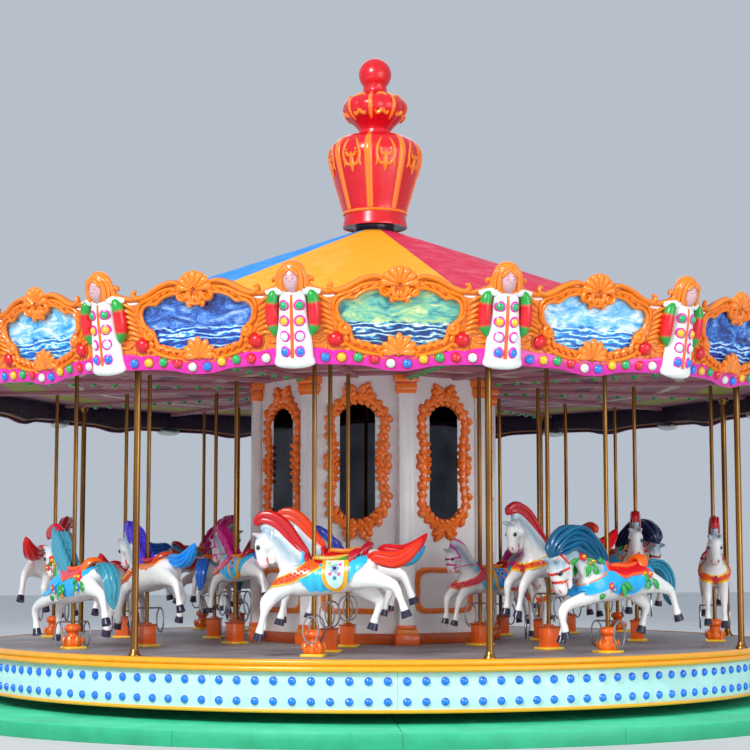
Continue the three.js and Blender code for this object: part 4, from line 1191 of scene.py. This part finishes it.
FAR_FORELEG = ((-0.176, 0.07, 0.47, 0.06, 0.09), (-0.29, 0.076, 0.415, 0.054, 0.07),
               (-0.385, 0.078, 0.352, 0.042, 0.052), (-0.43, 0.078, 0.297, 0.037, 0.042),
               (-0.437, 0.078, 0.217, 0.026, 0.028), (-0.44, 0.078, 0.142, 0.025, 0.028),
               (-0.445, 0.078, 0.104, 0.031, 0.035), (-0.452, 0.078, 0.071, 0.031, 0.034))
HIND_LEGS = (
    ((0.34, -0.065, 0.54, 0.078, 0.125), (0.46, -0.076, 0.52, 0.064, 0.095), (0.58, -0.08, 0.487, 0.047, 0.064),
     (0.675, -0.08, 0.45, 0.038, 0.047), (0.715, -0.08, 0.38, 0.028, 0.032), (0.74, -0.08, 0.315, 0.026, 0.029),
     (0.755, -0.08, 0.275, 0.032, 0.035), (0.768, -0.08, 0.24, 0.031, 0.034)),
    ((0.3, 0.065, 0.52, 0.078, 0.125), (0.41, 0.076, 0.43, 0.062, 0.088), (0.5, 0.08, 0.355, 0.045, 0.058),
     (0.54, 0.08, 0.31, 0.037, 0.044), (0.52, 0.08, 0.245, 0.027, 0.03), (0.5, 0.08, 0.192, 0.026, 0.029),
     (0.492, 0.08, 0.163, 0.032, 0.035), (0.484, 0.08, 0.135, 0.031, 0.034)),
)
# Some horses hold their heads up and fling their tails out; others tuck in the chin and let the tail hang
POSES = {
    "upright": dict(
        head=Matrix.Identity(4),
        neck=((-0.09, 0, 0.53, 0.09, 0.145), (-0.17, 0, 0.63, 0.08, 0.135), (-0.22, 0, 0.73, 0.066, 0.115),
              (-0.275, 0, 0.81, 0.057, 0.095), (-0.34, 0, 0.855, 0.05, 0.07)),
        foreleg=((-0.176, -0.07, 0.47, 0.06, 0.09), (-0.255, -0.076, 0.415, 0.054, 0.075),
                 (-0.335, -0.078, 0.34, 0.042, 0.055), (-0.383, -0.078, 0.27, 0.037, 0.043),
                 (-0.408, -0.078, 0.19, 0.026, 0.028), (-0.425, -0.078, 0.12, 0.025, 0.028),
                 (-0.433, -0.078, 0.085, 0.031, 0.035), (-0.442, -0.078, 0.05, 0.031, 0.034)),
        crest=((-0.485, 0, 0.94, 0.022, 0.022), (-0.472, 0, 0.978, 0.033, 0.048), (-0.42, 0, 1.0, 0.038, 0.066),
               (-0.355, 0, 0.99, 0.04, 0.072), (-0.29, 0, 0.955, 0.041, 0.072), (-0.23, 0, 0.897, 0.041, 0.07),
               (-0.18, 0, 0.83, 0.041, 0.065), (-0.125, 0, 0.762, 0.037, 0.058), (-0.075, 0, 0.705, 0.03, 0.048),
               (-0.035, 0, 0.66, 0.016, 0.022)),
        tail=((0.45, 0, 0.66, 0.03, 0.035), (0.5, 0, 0.68, 0.045, 0.055), (0.58, 0, 0.665, 0.055, 0.07),
              (0.67, 0, 0.655, 0.058, 0.076), (0.75, 0, 0.685, 0.052, 0.07), (0.815, 0, 0.735, 0.04, 0.053),
              (0.865, 0, 0.79, 0.025, 0.03), (0.89, 0, 0.825, 0.006, 0.008))),
    "tucked": dict(
        head=shift(-0.49, 0, 0.755) @ turn(math.radians(-13), "Y") @ Matrix.Scale(1.18, 4) @ shift(*[-c for c in POLL]),
        neck=((-0.08, 0, 0.54, 0.09, 0.14), (-0.17, 0, 0.645, 0.082, 0.14), (-0.25, 0, 0.73, 0.07, 0.125),
              (-0.34, 0, 0.785, 0.06, 0.105), (-0.43, 0, 0.785, 0.055, 0.085), (-0.49, 0, 0.745, 0.05, 0.07)),
        foreleg=((-0.17, -0.07, 0.45, 0.06, 0.09), (-0.28, -0.078, 0.41, 0.052, 0.068),
                 (-0.41, -0.08, 0.375, 0.043, 0.054), (-0.53, -0.08, 0.34, 0.039, 0.045),
                 (-0.59, -0.08, 0.285, 0.037, 0.042), (-0.585, -0.08, 0.205, 0.027, 0.029),
                 (-0.57, -0.08, 0.16, 0.031, 0.034), (-0.56, -0.08, 0.115, 0.031, 0.034)),
        crest=((-0.6, 0, 0.735, 0.03, 0.03), (-0.605, 0, 0.79, 0.055, 0.06), (-0.555, 0, 0.845, 0.072, 0.085),
               (-0.485, 0, 0.885, 0.082, 0.098), (-0.41, 0, 0.905, 0.088, 0.105), (-0.33, 0, 0.89, 0.09, 0.105),
               (-0.25, 0, 0.845, 0.088, 0.1), (-0.17, 0, 0.78, 0.08, 0.09), (-0.1, 0, 0.715, 0.062, 0.07),
               (-0.04, 0, 0.66, 0.03, 0.03)),
        tail=((0.46, 0, 0.655, 0.03, 0.035), (0.53, 0, 0.68, 0.045, 0.052), (0.615, 0, 0.665, 0.055, 0.064),
              (0.685, 0, 0.605, 0.056, 0.068), (0.722, 0, 0.535, 0.052, 0.066), (0.735, 0, 0.46, 0.044, 0.056),
              (0.74, 0, 0.385, 0.032, 0.038), (0.765, 0, 0.325, 0.008, 0.01))),
}
POSES["reaching"] = {**POSES["upright"], "tail": POSES["tucked"]["tail"], "foreleg": POSES["tucked"]["foreleg"]}


def limb(stations, paint="white", sides=12, steps=2):
    return loft(stations, Y_WAY, paint, sides, steps)


def horse_skin(pose):
    """The smooth body in a pose, run together from its limbs, and a search tree of its surface."""
    head = [limb(HEAD, sides=14), limb(JAW)]
    for way in (-1, 1):
        head += [
            limb(((-0.348, way * 0.03, 0.823, 0.01, 0.02), (-0.37, way * 0.042, 0.8, 0.03, 0.045),
                  (-0.384, way * 0.042, 0.762, 0.03, 0.045), (-0.384, way * 0.03, 0.728, 0.01, 0.02))),
            limb(((-0.42, way * 0.035, 0.84, 0.018, 0.024), (-0.465, way * 0.05, 0.86, 0.02, 0.024),
                  (-0.515, way * 0.056, 0.872, 0.007, 0.008)), sides=8),
            limb(((-0.429, way * 0.05, 0.785, 0.01, 0.012), (-0.442, way * 0.056, 0.782, 0.012, 0.018),
                  (-0.463, way * 0.05, 0.766, 0.008, 0.01)), sides=8)]
    arch = [(x + 0.02, y, z - 1.05 * deep, 0.036, 0.052) for x, y, z, _, deep in pose["crest"][2:-2]]
    arch.insert(0, (arch[0][0] - 0.035, 0, arch[0][2] - 0.035, 0.02, 0.025))
    limbs = [limb(TRUNK, sides=20), limb(pose["neck"], sides=16), limb(arch), limb(pose["foreleg"]), limb(FAR_FORELEG)]
    limbs += [limb(leg) for leg in HIND_LEGS] + [placed(part, pose["head"]) for part in head]
    made = piece("horse_skin", joined(limbs), "gloss")
    remesh = made.modifiers.new("one skin", "REMESH")
    remesh.mode = "VOXEL"
    remesh.voxel_size = 0.0085
    soften = made.modifiers.new("soften", "SMOOTH")
    soften.factor = 0.5
    soften.iterations = 5
    made.modifiers.new("fewer faces", "DECIMATE").ratio = 0.085
    plain(made)
    points = np.array([v.co[:] for v in made.data.vertices])
    faces = [tuple(face.vertices) for face in made.data.polygons]
    bpy.data.objects.remove(made)
    return surface(points, faces, "white"), BVHTree.FromPolygons(points.tolist(), faces)


def skin_paint(skin, pose):
    """White, with blue-grey shading under the mane and the belly, and pink round the muzzle."""
    points, faces, _ = skin
    line = smoothed([(x, z, depth) for x, _, z, _, depth in pose["crest"]], 4)
    gaps = np.hypot(points[:, 0, None] - line[:, 0], points[:, 2, None] - line[:, 1]) - line[:, 2]
    shade = 0.95 * np.clip(1.1 - np.abs(gaps.min(1) - 0.03) / 0.075, 0, 1)
    shade = np.maximum(shade, 0.4 * np.clip((0.4 - points[:, 2]) / 0.05, 0, 1) * (np.abs(points[:, 0]) < 0.3))
    blush = 0.6 * np.clip(1.6 - np.linalg.norm(points - np.array(pose["head"] @ MUZZLE), axis=1) / 0.045, 0, 1)
    paints = np.tile(linear("white"), (len(points), 1))
    for share, name in ((shade, "blue grey"), (blush, "rose")):
        paints += share[:, None] * (np.array(linear(name)) - paints)
    return points, faces, paints


def horse_details(pose):
    """Hooves, and the eyes, nostrils, ears and mouth of the head."""
    parts = []
    for leg in (pose["foreleg"], FAR_FORELEG, *HIND_LEGS):
        end = np.array(leg[-1][:3])
        way = end - np.array(leg[-2][:3])
        way /= np.linalg.norm(way)
        rows = [(*(end + out * way), wide, deep) for out, wide,
                deep in ((-0.008, 0.034, 0.037), (0.022, 0.038, 0.043), (0.05, 0.041, 0.047))]
        parts.append(limb(rows, "night", 12, 1))
    head = [limb(((-0.4, 0, 0.7, 0.02, 0.015), (-0.395, 0, 0.667, 0.034, 0.028), (-0.388, 0, 0.637, 0.03, 0.024),
                  (-0.386, 0, 0.62, 0.012, 0.01)), "#D8506C", 9, 2)]
    for way in (-1, 1):
        head += [
            limb(((-0.443, way * 0.055, 0.773, 0.004, 0.006), (-0.456, way * 0.0605, 0.757, 0.012, 0.019),
                  (-0.468, way * 0.054, 0.741, 0.004, 0.006)), "black", 10),
            limb(((-0.433, way * 0.056, 0.784, 0.004, 0.004), (-0.456, way * 0.065, 0.783, 0.007, 0.006),
                  (-0.478, way * 0.054, 0.766, 0.003, 0.004)), "cool white", 6),
            limb(((-0.468, way * 0.028, 0.642, 0.004, 0.004), (-0.469, way * 0.034, 0.629, 0.008, 0.009),
                  (-0.46, way * 0.034, 0.616, 0.004, 0.004)), "#C87888", 7, 2),
            limb(((-0.445, way * 0.058, 0.858, 0.002, 0.005), (-0.47, way * 0.069, 0.867, 0.004, 0.009),
                  (-0.498, way * 0.064, 0.873, 0.002, 0.003)), "rose", 6, 2)]
    return parts + [placed(part, pose["head"]) for part in head]


def combed(line, colour, spots, slim=0.9, wave=0.0):
    """Carved hair along a line: a core, and strands on it. Each spot is a strand's place across the core, in its
    half widths and half depths."""
    rows = np.array(line)
    along = np.gradient(rows[:, [0, 2]], axis=0)
    along /= np.linalg.norm(along, axis=1, keepdims=True)
    core = rows.copy()
    core[:, 3:] *= slim
    parts = [limb(core, colour, 12)]
    for number, (aside, out) in enumerate(spots):
        strand = rows.copy()
        offset = out * rows[:, 4] + wave * np.sin(1.7 * np.arange(len(rows)) + number)
        strand[:, 0] -= along[:, 1] * offset
        strand[:, 1] = aside * rows[:, 3]
        strand[:, 2] += along[:, 0] * offset
        strand[:, 3] *= 0.42
        strand[:, 4] *= 0.34 if len(spots) < 6 else 0.24
        parts.append(limb(strand, colour, 6))
    return parts


def falling_locks(crest, colour, seed, mean=0.155, first=3):
    """Locks that fall back from the crest over both sides of the neck, from the crest's first station on."""
    dice = random.Random(seed)
    parts = combed(crest[2:], colour, ())
    for x, _, z, _, _ in crest[first:-1]:
        for way in (-1, 1):
            for k in range(2):
                long, sway = mean * dice.uniform(0.85, 1.15), dice.uniform(-0.015, 0.02)
                x0, z0 = x + 0.03 * k, z - 0.028 * k + 0.03
                parts.append(limb(((x0, way * 0.015, z0 + 0.02, 0.012, 0.018),
                                   (x0 + 0.035, way * 0.045, z0, 0.018, 0.025),
                                   (x0 + 0.07 + sway, way * 0.066, z0 - 0.35 * long, 0.018, 0.027),
                                   (x0 + 0.085 + sway, way * 0.074, z0 - 0.7 * long, 0.013, 0.02),
                                   (x0 + 0.11 + 2 * sway, way * 0.07, z0 - long, 0.004, 0.006)), colour, 6))
    return parts


def hair(pose, look, seed):
    """The mane, in the manner that the look asks for, and the tail."""
    manner = look["hair"]
    sides = [(way * aside, out) for aside, out in ((0.85, 0.45), (0.95, -0.35)) for way in (-1, 1)]
    full = [(way * 0.8, out) for out in (0.75, 0.35, -0.05, -0.45, -0.85) for way in (-1, 1)] + [(0, 0.9), (0, -0.9)]
    if manner == "crest":
        mane = combed(pose["crest"], look["mane"], sides, 0.96)
    elif manner == "full":
        mane = combed(pose["crest"], look["mane"], full, 0.9, 0.008)
    elif manner == "cropped":
        mane = [limb([(x + 0.028, y, z - 0.026, 0.015, 0.02) for x, y, z, _, _ in pose["crest"][2:]], look["mane"], 8)]
    else:
        mane = falling_locks(pose["crest"], look["mane"], seed)
        if "forelock" in look:
            mane = falling_locks(pose["crest"], look["mane"], seed, 0.3, 3) + combed(pose["crest"][:5],
                    look["forelock"], sides, 1.25)
    return mane + combed(pose["tail"], look["tail"], [(way * 0.8, out) for out in (0.6, 0.05, -0.5) for way in (-1, 1)],
                         0.92)


def laid_on(tree, guides, aims, lift, paint, ripple=None):
    """A sheet laid on the skin. Each row of guide points is thrown at its aims, and stands off by the lift."""
    rows, columns = len(guides), len(guides[0])
    points = np.zeros((rows, columns, 3))
    for i in range(rows):
        for j in range(columns):
            start, aim = Vector(guides[i][j]), Vector(aims[i][j])
            hit, normal, _, _ = tree.ray_cast(start, (aim - start).normalized())
            if hit is None:
                hit, normal, _, _ = tree.find_nearest(start)
            rim = i in (0, rows - 1) or j in (0, columns - 1)
            rise = -0.006 if rim else lift + (ripple(i / (rows - 1), j / (columns - 1)) if ripple else 0)
            points[i, j] = hit + normal * rise
    faces = [(i * columns + j, i * columns + j + 1, (i + 1) * columns + j + 1, (i + 1) * columns + j)
             for i in range(rows - 1) for j in range(columns - 1)]
    return surface(points, faces, paint)


def put_on(tree, part, start, aim, out=0.0):
    """A small carving, drawn flat, where a ray meets the skin. It is turned to lie on the skin."""
    start = Vector(start)
    hit, normal, _, _ = tree.ray_cast(start, (Vector(aim) - start).normalized())
    if hit is None:
        return []
    return [placed(part, normal.to_track_quat("Z", "Y").to_matrix().to_4x4(), Matrix.Translation(hit + normal * out))]


def put_beside(tree, part, x, z, way, out=0.0):
    return put_on(tree, part, (x, way * 0.4, z), (x, 0, z), out)


def edged(count):
    """Even shares from 0 to 1, with a close one at each end so that a sheet's edge is steep."""
    return [0.0, 0.002, *np.linspace(0, 1, count)[1:-1], 0.998, 1.0]


def table(*pairs):
    """A function that runs evenly through pairs of place and value."""
    places, values = zip(*pairs)
    return lambda x: float(np.interp(x, places, values))


def round_trunk(tree, start, end, low, lift, paint, fineness, ripple=None):
    """A cloth over the back from start to end. The low is how far it hangs at a place, in degrees from the top, and
    the fineness its rows along and across."""
    guides, aims = [], []
    for share in edged(fineness[0]):
        x = start + (end - start) * share
        angles = [math.radians(low(x)) * (2 * across - 1) for across in edged(fineness[1])]
        guides.append([(x, 0.32 * math.sin(a), 0.52 + 0.32 * math.cos(a)) for a in angles])
        aims.append([(x, 0, 0.52)] * len(angles))
    return laid_on(tree, guides, aims, lift, paint, ripple)


def band_ray(place, off=0.0):
    """A ray at a place along the chest band, which runs from the near side at -1 round the chest to the far side
    at 1, and off above the band's middle."""
    swing, far = place * math.radians(112), abs(place)
    z = 0.45 + 0.14 * far ** 1.3 + off
    start = (-0.11 - 0.3 * math.cos(swing) - 0.3 * off * far, 0.3 * math.sin(swing), z)
    return start, (-0.14 + 0.05 * far, 0, z - 0.03 * far)


def chest_band(tree, width, lift, paint, reach=1.12, raised=0.0):
    """A band round the chest and back to the saddle on both sides. Its width changes with the place along it."""
    guides, aims = [], []
    for share in edged(40):
        place = reach * (2 * share - 1)
        rays = [band_ray(place, raised + (across - 0.5) * width(abs(place))) for across in edged(5)]
        guides.append([start for start, _ in rays])
        aims.append([aim for _, aim in rays])
    return laid_on(tree, guides, aims, lift, paint)


def along_band(tree, part, count, off, out, reach=1.05):
    """Copies of a small carving along the chest band."""
    parts = []
    for place in np.linspace(-reach, reach, count):
        parts += put_on(tree, part, *band_ray(place, off), out)
    return parts


def flower(size, petals, heart="yellow"):
    """A five-petalled flower, drawn flat."""
    parts = [dome(0.4 * size, 0.5 * size, heart, 7, 2)]
    for i in range(5):
        spot = shift(0.62 * size * math.cos(TAU * i / 5), 0.62 * size * math.sin(TAU * i / 5), 0)
        parts.append(placed(dome(0.45 * size, 0.3 * size, petals, 6, 1), spot))
    return joined(parts)


def saddle(tree, look):
    """The seat, with a roll along each side, a pommel in front and a raised back."""
    low = table((-0.07, 30), (0.0, 46), (0.12, 42), (0.3, 48), (0.37, 32))
    parts = [round_trunk(tree, -0.06, 0.36, lambda x: low(x) + 2.5 * math.cos(x * 120), 0.012, look["seat"], (22, 14))]
    if "pad" in look:
        parts.append(round_trunk(tree, 0.13, 0.345, table((0.13, 30), (0.3, 40), (0.345, 34)), 0.03, look["pad"],
                                 (12, 10)))
    for way in (-1, 1):
        parts.append(limb(((0.0, way * 0.045, 0.672, 0.01, 0.012), (0.04, way * 0.062, 0.674, 0.028, 0.022),
                           (0.13, way * 0.066, 0.667, 0.032, 0.022), (0.22, way * 0.066, 0.676, 0.03, 0.022),
                           (0.3, way * 0.055, 0.695, 0.01, 0.012)), look["roll"], 10))
    arches = (((-0.045, 0.085, 0.638, 0.012, 0.01), (-0.052, 0.05, 0.682, 0.024, 0.02), (-0.055, 0, 0.7, 0.028, 0.024)),
              ((0.3, 0.11, 0.652, 0.02, 0.012), (0.335, 0.08, 0.695, 0.032, 0.02), (0.36, 0.03, 0.726, 0.04, 0.024)))
    if look["tack"] == "garland":
        arches = arches[:1] + (((0.33, 0.1, 0.64, 0.03, 0.02), (0.36, 0.07, 0.7, 0.055, 0.03),
                                (0.375, 0.03, 0.735, 0.06, 0.034)),)
    for half, paint in zip(arches, ("crimson", look["cantle"])):
        whole_arch = [*half, *[(x, -y, z, wide, deep) for x, y, z, wide, deep in half[::-1] if y]]
        parts.append(loft(whole_arch, X_WAY, paint, 10, 3))
    return parts


def shield(tree, way, border, field):
    """A U-shaped saddle flap with a gold border and a plain posy."""
    parts = []
    for grow, lift, paint in ((0.0, 0.024, border), (-0.036, 0.03, field)):
        guides, aims = [], []
        for share in edged(14):
            z = 0.655 + 0.3 * grow - (0.225 + grow) * share
            half = (0.111 + grow) * math.sqrt(max(0.0, 1 - max(0.0, (share - 0.35) / 0.65) ** 2.4))
            row = [(0.202 + max(half, 0.004) * (2 * across - 1), way * 0.4, z) for across in edged(8)]
            guides.append(row)
            aims.append([(x, 0, z - 0.02) for x, _, z in row])
        parts.append(laid_on(tree, guides, aims, lift, paint))
    parts += put_beside(tree, flower(0.042, "blue grey", "navy"), 0.202, 0.575, way, 0.028)
    for dx, dz, paint in ((-0.045, 0.03, "lime"), (0.045, 0.03, "pink"), (0, -0.06, "teal"), (-0.036, -0.036, "pink"),
                          (0.036, -0.036, "pink")):
        parts += put_beside(tree, dome(0.018, 0.009, paint, 7, 2), 0.202 + dx, 0.575 + dz, way, 0.029)
    return parts


def bridle(tree, pose, colour):
    """Straps over the brow, cheek and nose, and the reins where the head is up."""
    parts = []
    head = pose["head"]
    for centre, normal in (((-0.43, 0, 0.69), (0.12, 0, 1)), ((-0.385, 0, 0.83), (0.9, 0, 0.55)),
                           ((-0.41, 0, 0.772), (-0.2, 0, 1))):
        centre, normal = head @ Vector(centre), (head.to_3x3() @ Vector(normal)).normalized()
        across = normal.cross(Vector(Y_WAY))
        guides, aims = [], []
        for angle in np.linspace(0, TAU, 29):
            ray = Vector((0, 0.1 * math.cos(angle), 0)) + across * 0.1 * math.sin(angle)
            aims.append([centre + normal * off for off in (-0.01, -0.0098, 0, 0.0098, 0.01)])
            guides.append([aim + ray for aim in aims[-1]])
        parts.append(laid_on(tree, guides, aims, 0.006, colour))
    for way in (-1, 1):
        if head == Matrix.Identity(4):
            parts.append(limb(((-0.447, way * 0.05, 0.65, 0.005, 0.005), (-0.36, way * 0.075, 0.67, 0.005, 0.005),
                               (-0.26, way * 0.09, 0.69, 0.005, 0.005), (-0.15, way * 0.085, 0.7, 0.005, 0.005),
                               (-0.05, way * 0.03, 0.705, 0.005, 0.005)), colour, 6))
        parts.append(placed(dome(0.014, 0.008, "gold", 8, 2), turn(-way * math.pi / 2, "X"),
                            shift(-0.44, way * 0.048, 0.69), head))
    return parts


def bright_tack(tree, look):
    """A long blanket with folds, a patterned band with bright edges, and a saddle with shields."""
    low = table((-0.13, 60), (-0.11, 92), (-0.04, 130), (0.0, 140), (0.24, 140), (0.3, 112), (0.36, 82), (0.42, 56),
                (0.46, 34))
    parts = [round_trunk(tree, -0.092, 0.455, low, 0.01, look["blanket"], (36, 20),
                         lambda along, across: 0.011 * (2 * across - 1) ** 2 * math.sin(along * 44))]
    width = table((0, 0.058), (0.5, 0.07), (1, 0.092), (1.3, 0.08))
    parts.append(chest_band(tree, lambda place: width(place) + 0.016, 0.014, look["edge"], 1.3))
    parts.append(chest_band(tree, lambda place: width(place) - 0.008, 0.02, look["band"], 1.3))
    spot = placed(dome(0.012, 0.008, look["spots"], 6, 1), Matrix.Diagonal((1.5, 0.9, 1, 1)))
    parts += along_band(tree, spot, 26, 0.013, 0.018, 1.2) + along_band(tree, spot, 25, -0.013, 0.018, 1.2)
    parts += saddle(tree, look)
    for way in (-1, 1):
        parts += shield(tree, way, "amber", look["field"])
    return parts


def garland_tack(tree, look):
    """A long blanket and a wide chest band under one gold line, a fringed saddle cloth, and garlands."""
    low = table((-0.12, 70), (-0.09, 110), (0, 128), (0.22, 128), (0.3, 100), (0.38, 66), (0.46, 40))
    parts = [round_trunk(tree, -0.11, 0.455, low, 0.009, look["blanket"], (30, 24),
                         lambda along, across: 0.004 * abs(2 * across - 1) * math.sin(along * 30))]
    width = table((0, 0.085), (0.4, 0.105), (1.2, 0.115))
    parts.append(chest_band(tree, width, 0.013, "gold", 1.15, 0.013))
    parts.append(chest_band(tree, width, 0.018, look["blanket"], 1.17))
    cloth_low = table((-0.1, 40), (0.0, 52), (0.08, 66), (0.18, 56), (0.34, 50))

    def scallops(x):
        return cloth_low(x) + 3 * abs(math.sin(x * 60))
    parts.append(round_trunk(tree, -0.08, 0.36, lambda x: scallops(x) + 8, 0.017, look["roll"], (34, 14)))
    parts.append(round_trunk(tree, -0.07, 0.35, cloth_low, 0.022, look["seat"], (24, 14)))
    parts += saddle(tree, look)
    for way in (-1, 1):
        for x, z, size, petals in (
            (-0.33, 0.75, 0.034, "red"), (-0.24, 0.71, 0.03, look["bloom"]), (-0.42, 0.68, 0.024, "red"),
                                   (0.37, 0.6, 0.034, "red"), (0.31, 0.6, 0.028, look["bloom"]),
                                   (0.36, 0.51, 0.03, "blue"), (-0.1, 0.5, 0.024, "red"), (-0.06, 0.47, 0.022, "blue"),
            (0.06, 0.44, 0.024, look["bloom"]), (0.365, 0.705, 0.03, look["roll"]),
        ):
            parts += put_beside(tree, flower(1.3 * size, petals), x, z, way, 0.02 if abs(x) < 0.2 else 0.008)
        for x, z, angle, long in (
            (-0.29, 0.76, -60, 0.1), (-0.28, 0.7, -100, 0.11), (-0.23, 0.68, -75, 0.1), (-0.37, 0.73, 200, 0.1),
                                  (-0.2, 0.73, -30, 0.09), (0.35, 0.57, -110, 0.1), (0.4, 0.56, -60, 0.1),
                                  (0.32, 0.62, -100, 0.08), (0.02, 0.52, -80, 0.11), (0.05, 0.53, -50, 0.1),
            (-0.14, 0.43, 190, 0.07),
        ):
            tip = (-way * 1.2 * long * math.cos(math.radians(angle)), 1.2 * long * math.sin(math.radians(angle)))
            parts += put_beside(tree, leaf((0, 0), tip, 0.12, 0.058, 0.016, "green"), x, z, way, 0.016
                                if abs(x) < 0.2 else 0.005)
    return parts


def collar_tack(tree, look):
    """A narrow collar with a scalloped edge and one flower at the chest, a small cloth and a plain saddle."""
    low = table((-0.06, 40), (0.05, 62), (0.2, 66), (0.36, 48))
    parts = [round_trunk(tree, -0.07, 0.37, lambda x: low(x) + 4 * math.cos(x * 60), 0.01, look["blanket"], (30, 14))]
    parts.append(chest_band(tree, lambda place: 0.08 + 0.012 * math.cos(place * 44), 0.012, look["edge"]))
    parts.append(chest_band(tree, lambda place: 0.05, 0.018, look["band"]))
    parts += along_band(tree, dome(0.014, 0.01, look["spots"], 7, 2), 17, 0.0, 0.016)
    parts += along_band(tree, flower(0.042, "crimson", "red"), 1, 0.0, 0.018, 0.0)
    return parts + saddle(tree, look)


# A look's hair, tack and paints
LOOKS = {
    "red": dict(hair="crest", mane="#BE101A", tail="#E6361A", tack="bright", blanket="cyan", edge="yellow",
                band="orange", spots="red", seat="red", roll="#C89A3C", cantle="crimson", field="aqua white",
                pad="green"),
    "collared": dict(hair="crest", mane="#B8101E", tail="red", tack="collar", blanket="cyan", edge="yellow",
                     band="orange", spots="red", seat="red", roll="orange", cantle="crimson"),
    "teal": dict(hair="full", mane="#185F86", tail="teal", tack="garland", blanket="#18AEF6", seat="red",
                 roll="#F0561C", cantle="orange", bloom="gold", bridle="#D8301C"),
    "red-capped": dict(hair="falling", forelock="crimson", mane="#3F93AC", tail="#3690A8", pose="reaching",
                       tack="garland", blanket="#18B4F4", seat="#F03A50", roll="#F0561C", cantle="orange",
                       bloom="gold"),
    "navy": dict(hair="full", mane="navy", tail="blue", tack="garland", blanket="cyan", seat="crimson", roll="gold",
                 cantle="orange", bloom="yellow", bridle="crimson"),
    "magenta": dict(hair="falling", mane="#D8148C", tail="blue", tack="bright", blanket="cyan", edge="gold",
                    band="magenta", spots="yellow", seat="#B8701C", roll="gold", cantle="crimson", field="cyan",
                    bridle="magenta"),
    "flame": dict(hair="crest", mane="#E8400C", tail="red", tack="collar", blanket="crimson", edge="yellow", band="red",
                  spots="gold", seat="red", roll="gold", cantle="crimson"),
    "violet": dict(hair="falling", mane="violet", tail="azure", tack="collar", blanket="gold", edge="orange",
                   band="red", spots="yellow", seat="#D8701C", roll="crimson", cantle="#C03A1C"),
    "blue": dict(hair="falling", mane="#2A40B8", tail="cyan", tack="bright", blanket="azure", edge="yellow", band="red",
                 spots="gold", seat="crimson", roll="green", cantle="magenta", field="white"),
    "cropped": dict(hair="cropped", mane="magenta", tail="magenta", tack="bright", blanket="cyan", edge="gold",
                    band="#C8185C", spots="orange", seat="crimson", roll="gold", cantle="crimson", field="azure",
                    bridle="magenta"),
}
LOOK_OF_PLACE = {
    "outer": ("teal", "collared", "navy", "violet", "magenta", "collared", "red-capped", "red"),
    "middle": ("collared", "collared", "flame", "blue", "red", "flame", "violet", "flame"),
    "inner": ("cropped", "red", "magenta", "flame", "teal", "navy", "magenta", "blue"),
}


def footrests():
    """Two steel ovals that hang from a bar through the pole, for the rider's feet. They are one size on every horse,
    so that the bar stays above the guide box at the low limit."""
    bar = [(0, way * FOOTREST_ASIDE, 0.2, 0.008, 0.008) for way in (-1, 1)]
    parts = [loft(bar, X_WAY, "cool white", 8, 1)]
    for way in (-1, 1):
        loop = [(0.065 * math.cos(t), way * FOOTREST_ASIDE, 0.09 + 0.11 * math.sin(t), 0.008, 0.008)
                for t in np.linspace(math.pi / 2, TAU + math.pi / 2, 17)]
        parts.append(limb(loop, "cool white", 5, 1))
    return joined(parts)


def make_horses():
    """Three rows of eight horses, each on its own pole. Ten looks are shared among them."""
    tacks = {"bright": bright_tack, "garland": garland_tack, "collar": collar_tack}
    bodies = {}
    for name, pose in POSES.items():
        skin, tree = horse_skin(pose)
        bodies[name] = [skin_paint(skin, pose)] + horse_details(pose), tree
    shapes = {}
    for seed, (name, look) in enumerate(LOOKS.items()):
        manner = look.get("pose", "tucked" if look["tack"] == "garland" else "upright")
        body, tree = bodies[manner]
        parts = body + hair(POSES[manner], look, seed) + tacks[look["tack"]](tree, look)
        shapes[name] = joined(parts + (bridle(tree, POSES[manner], look["bridle"]) if "bridle" in look else []))
    rests = footrests()
    for row, (radius, scale, first) in HORSE_ROWS.items():
        for place in range(8):
            lift = REST_LIFTS[(place + first) % 8]
            node = f"horse_{row}_{place + 1}"
            stand = (shift(0, -radius, 0), turn((2 * place + 1) * BAY))
            on_pole = (shift(0, 0, HOOF_HEIGHT + lift), *stand)
            sized = placed(shapes[LOOK_OF_PLACE[row][place]], Matrix.Diagonal((scale, scale, scale, 1)))
            horse = piece(f"{node}_carving", placed(sized, *on_pole), "gloss", crease=50)
            pole = revolved([(HORSE_POLE_RADIUS, POLE_FOOT + lift), (HORSE_POLE_RADIUS, POLE_HEAD + lift)], "gold", 16)
            tube = piece(f"{node}_tube", placed(pole, *stand), "brass")
            loops = piece(f"{node}_footrests", placed(rests, *on_pole), "steel")
            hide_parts(node)
            for made, slot in ((horse, "horse_shells"), (tube, "brass_tube"), (loops, "brass_tube")):
                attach(made, node)


make_studio()
make_base()
make_deck()
make_column()
make_canopy()
make_roof()
make_finial()
make_boards()
make_figures()
make_horses()
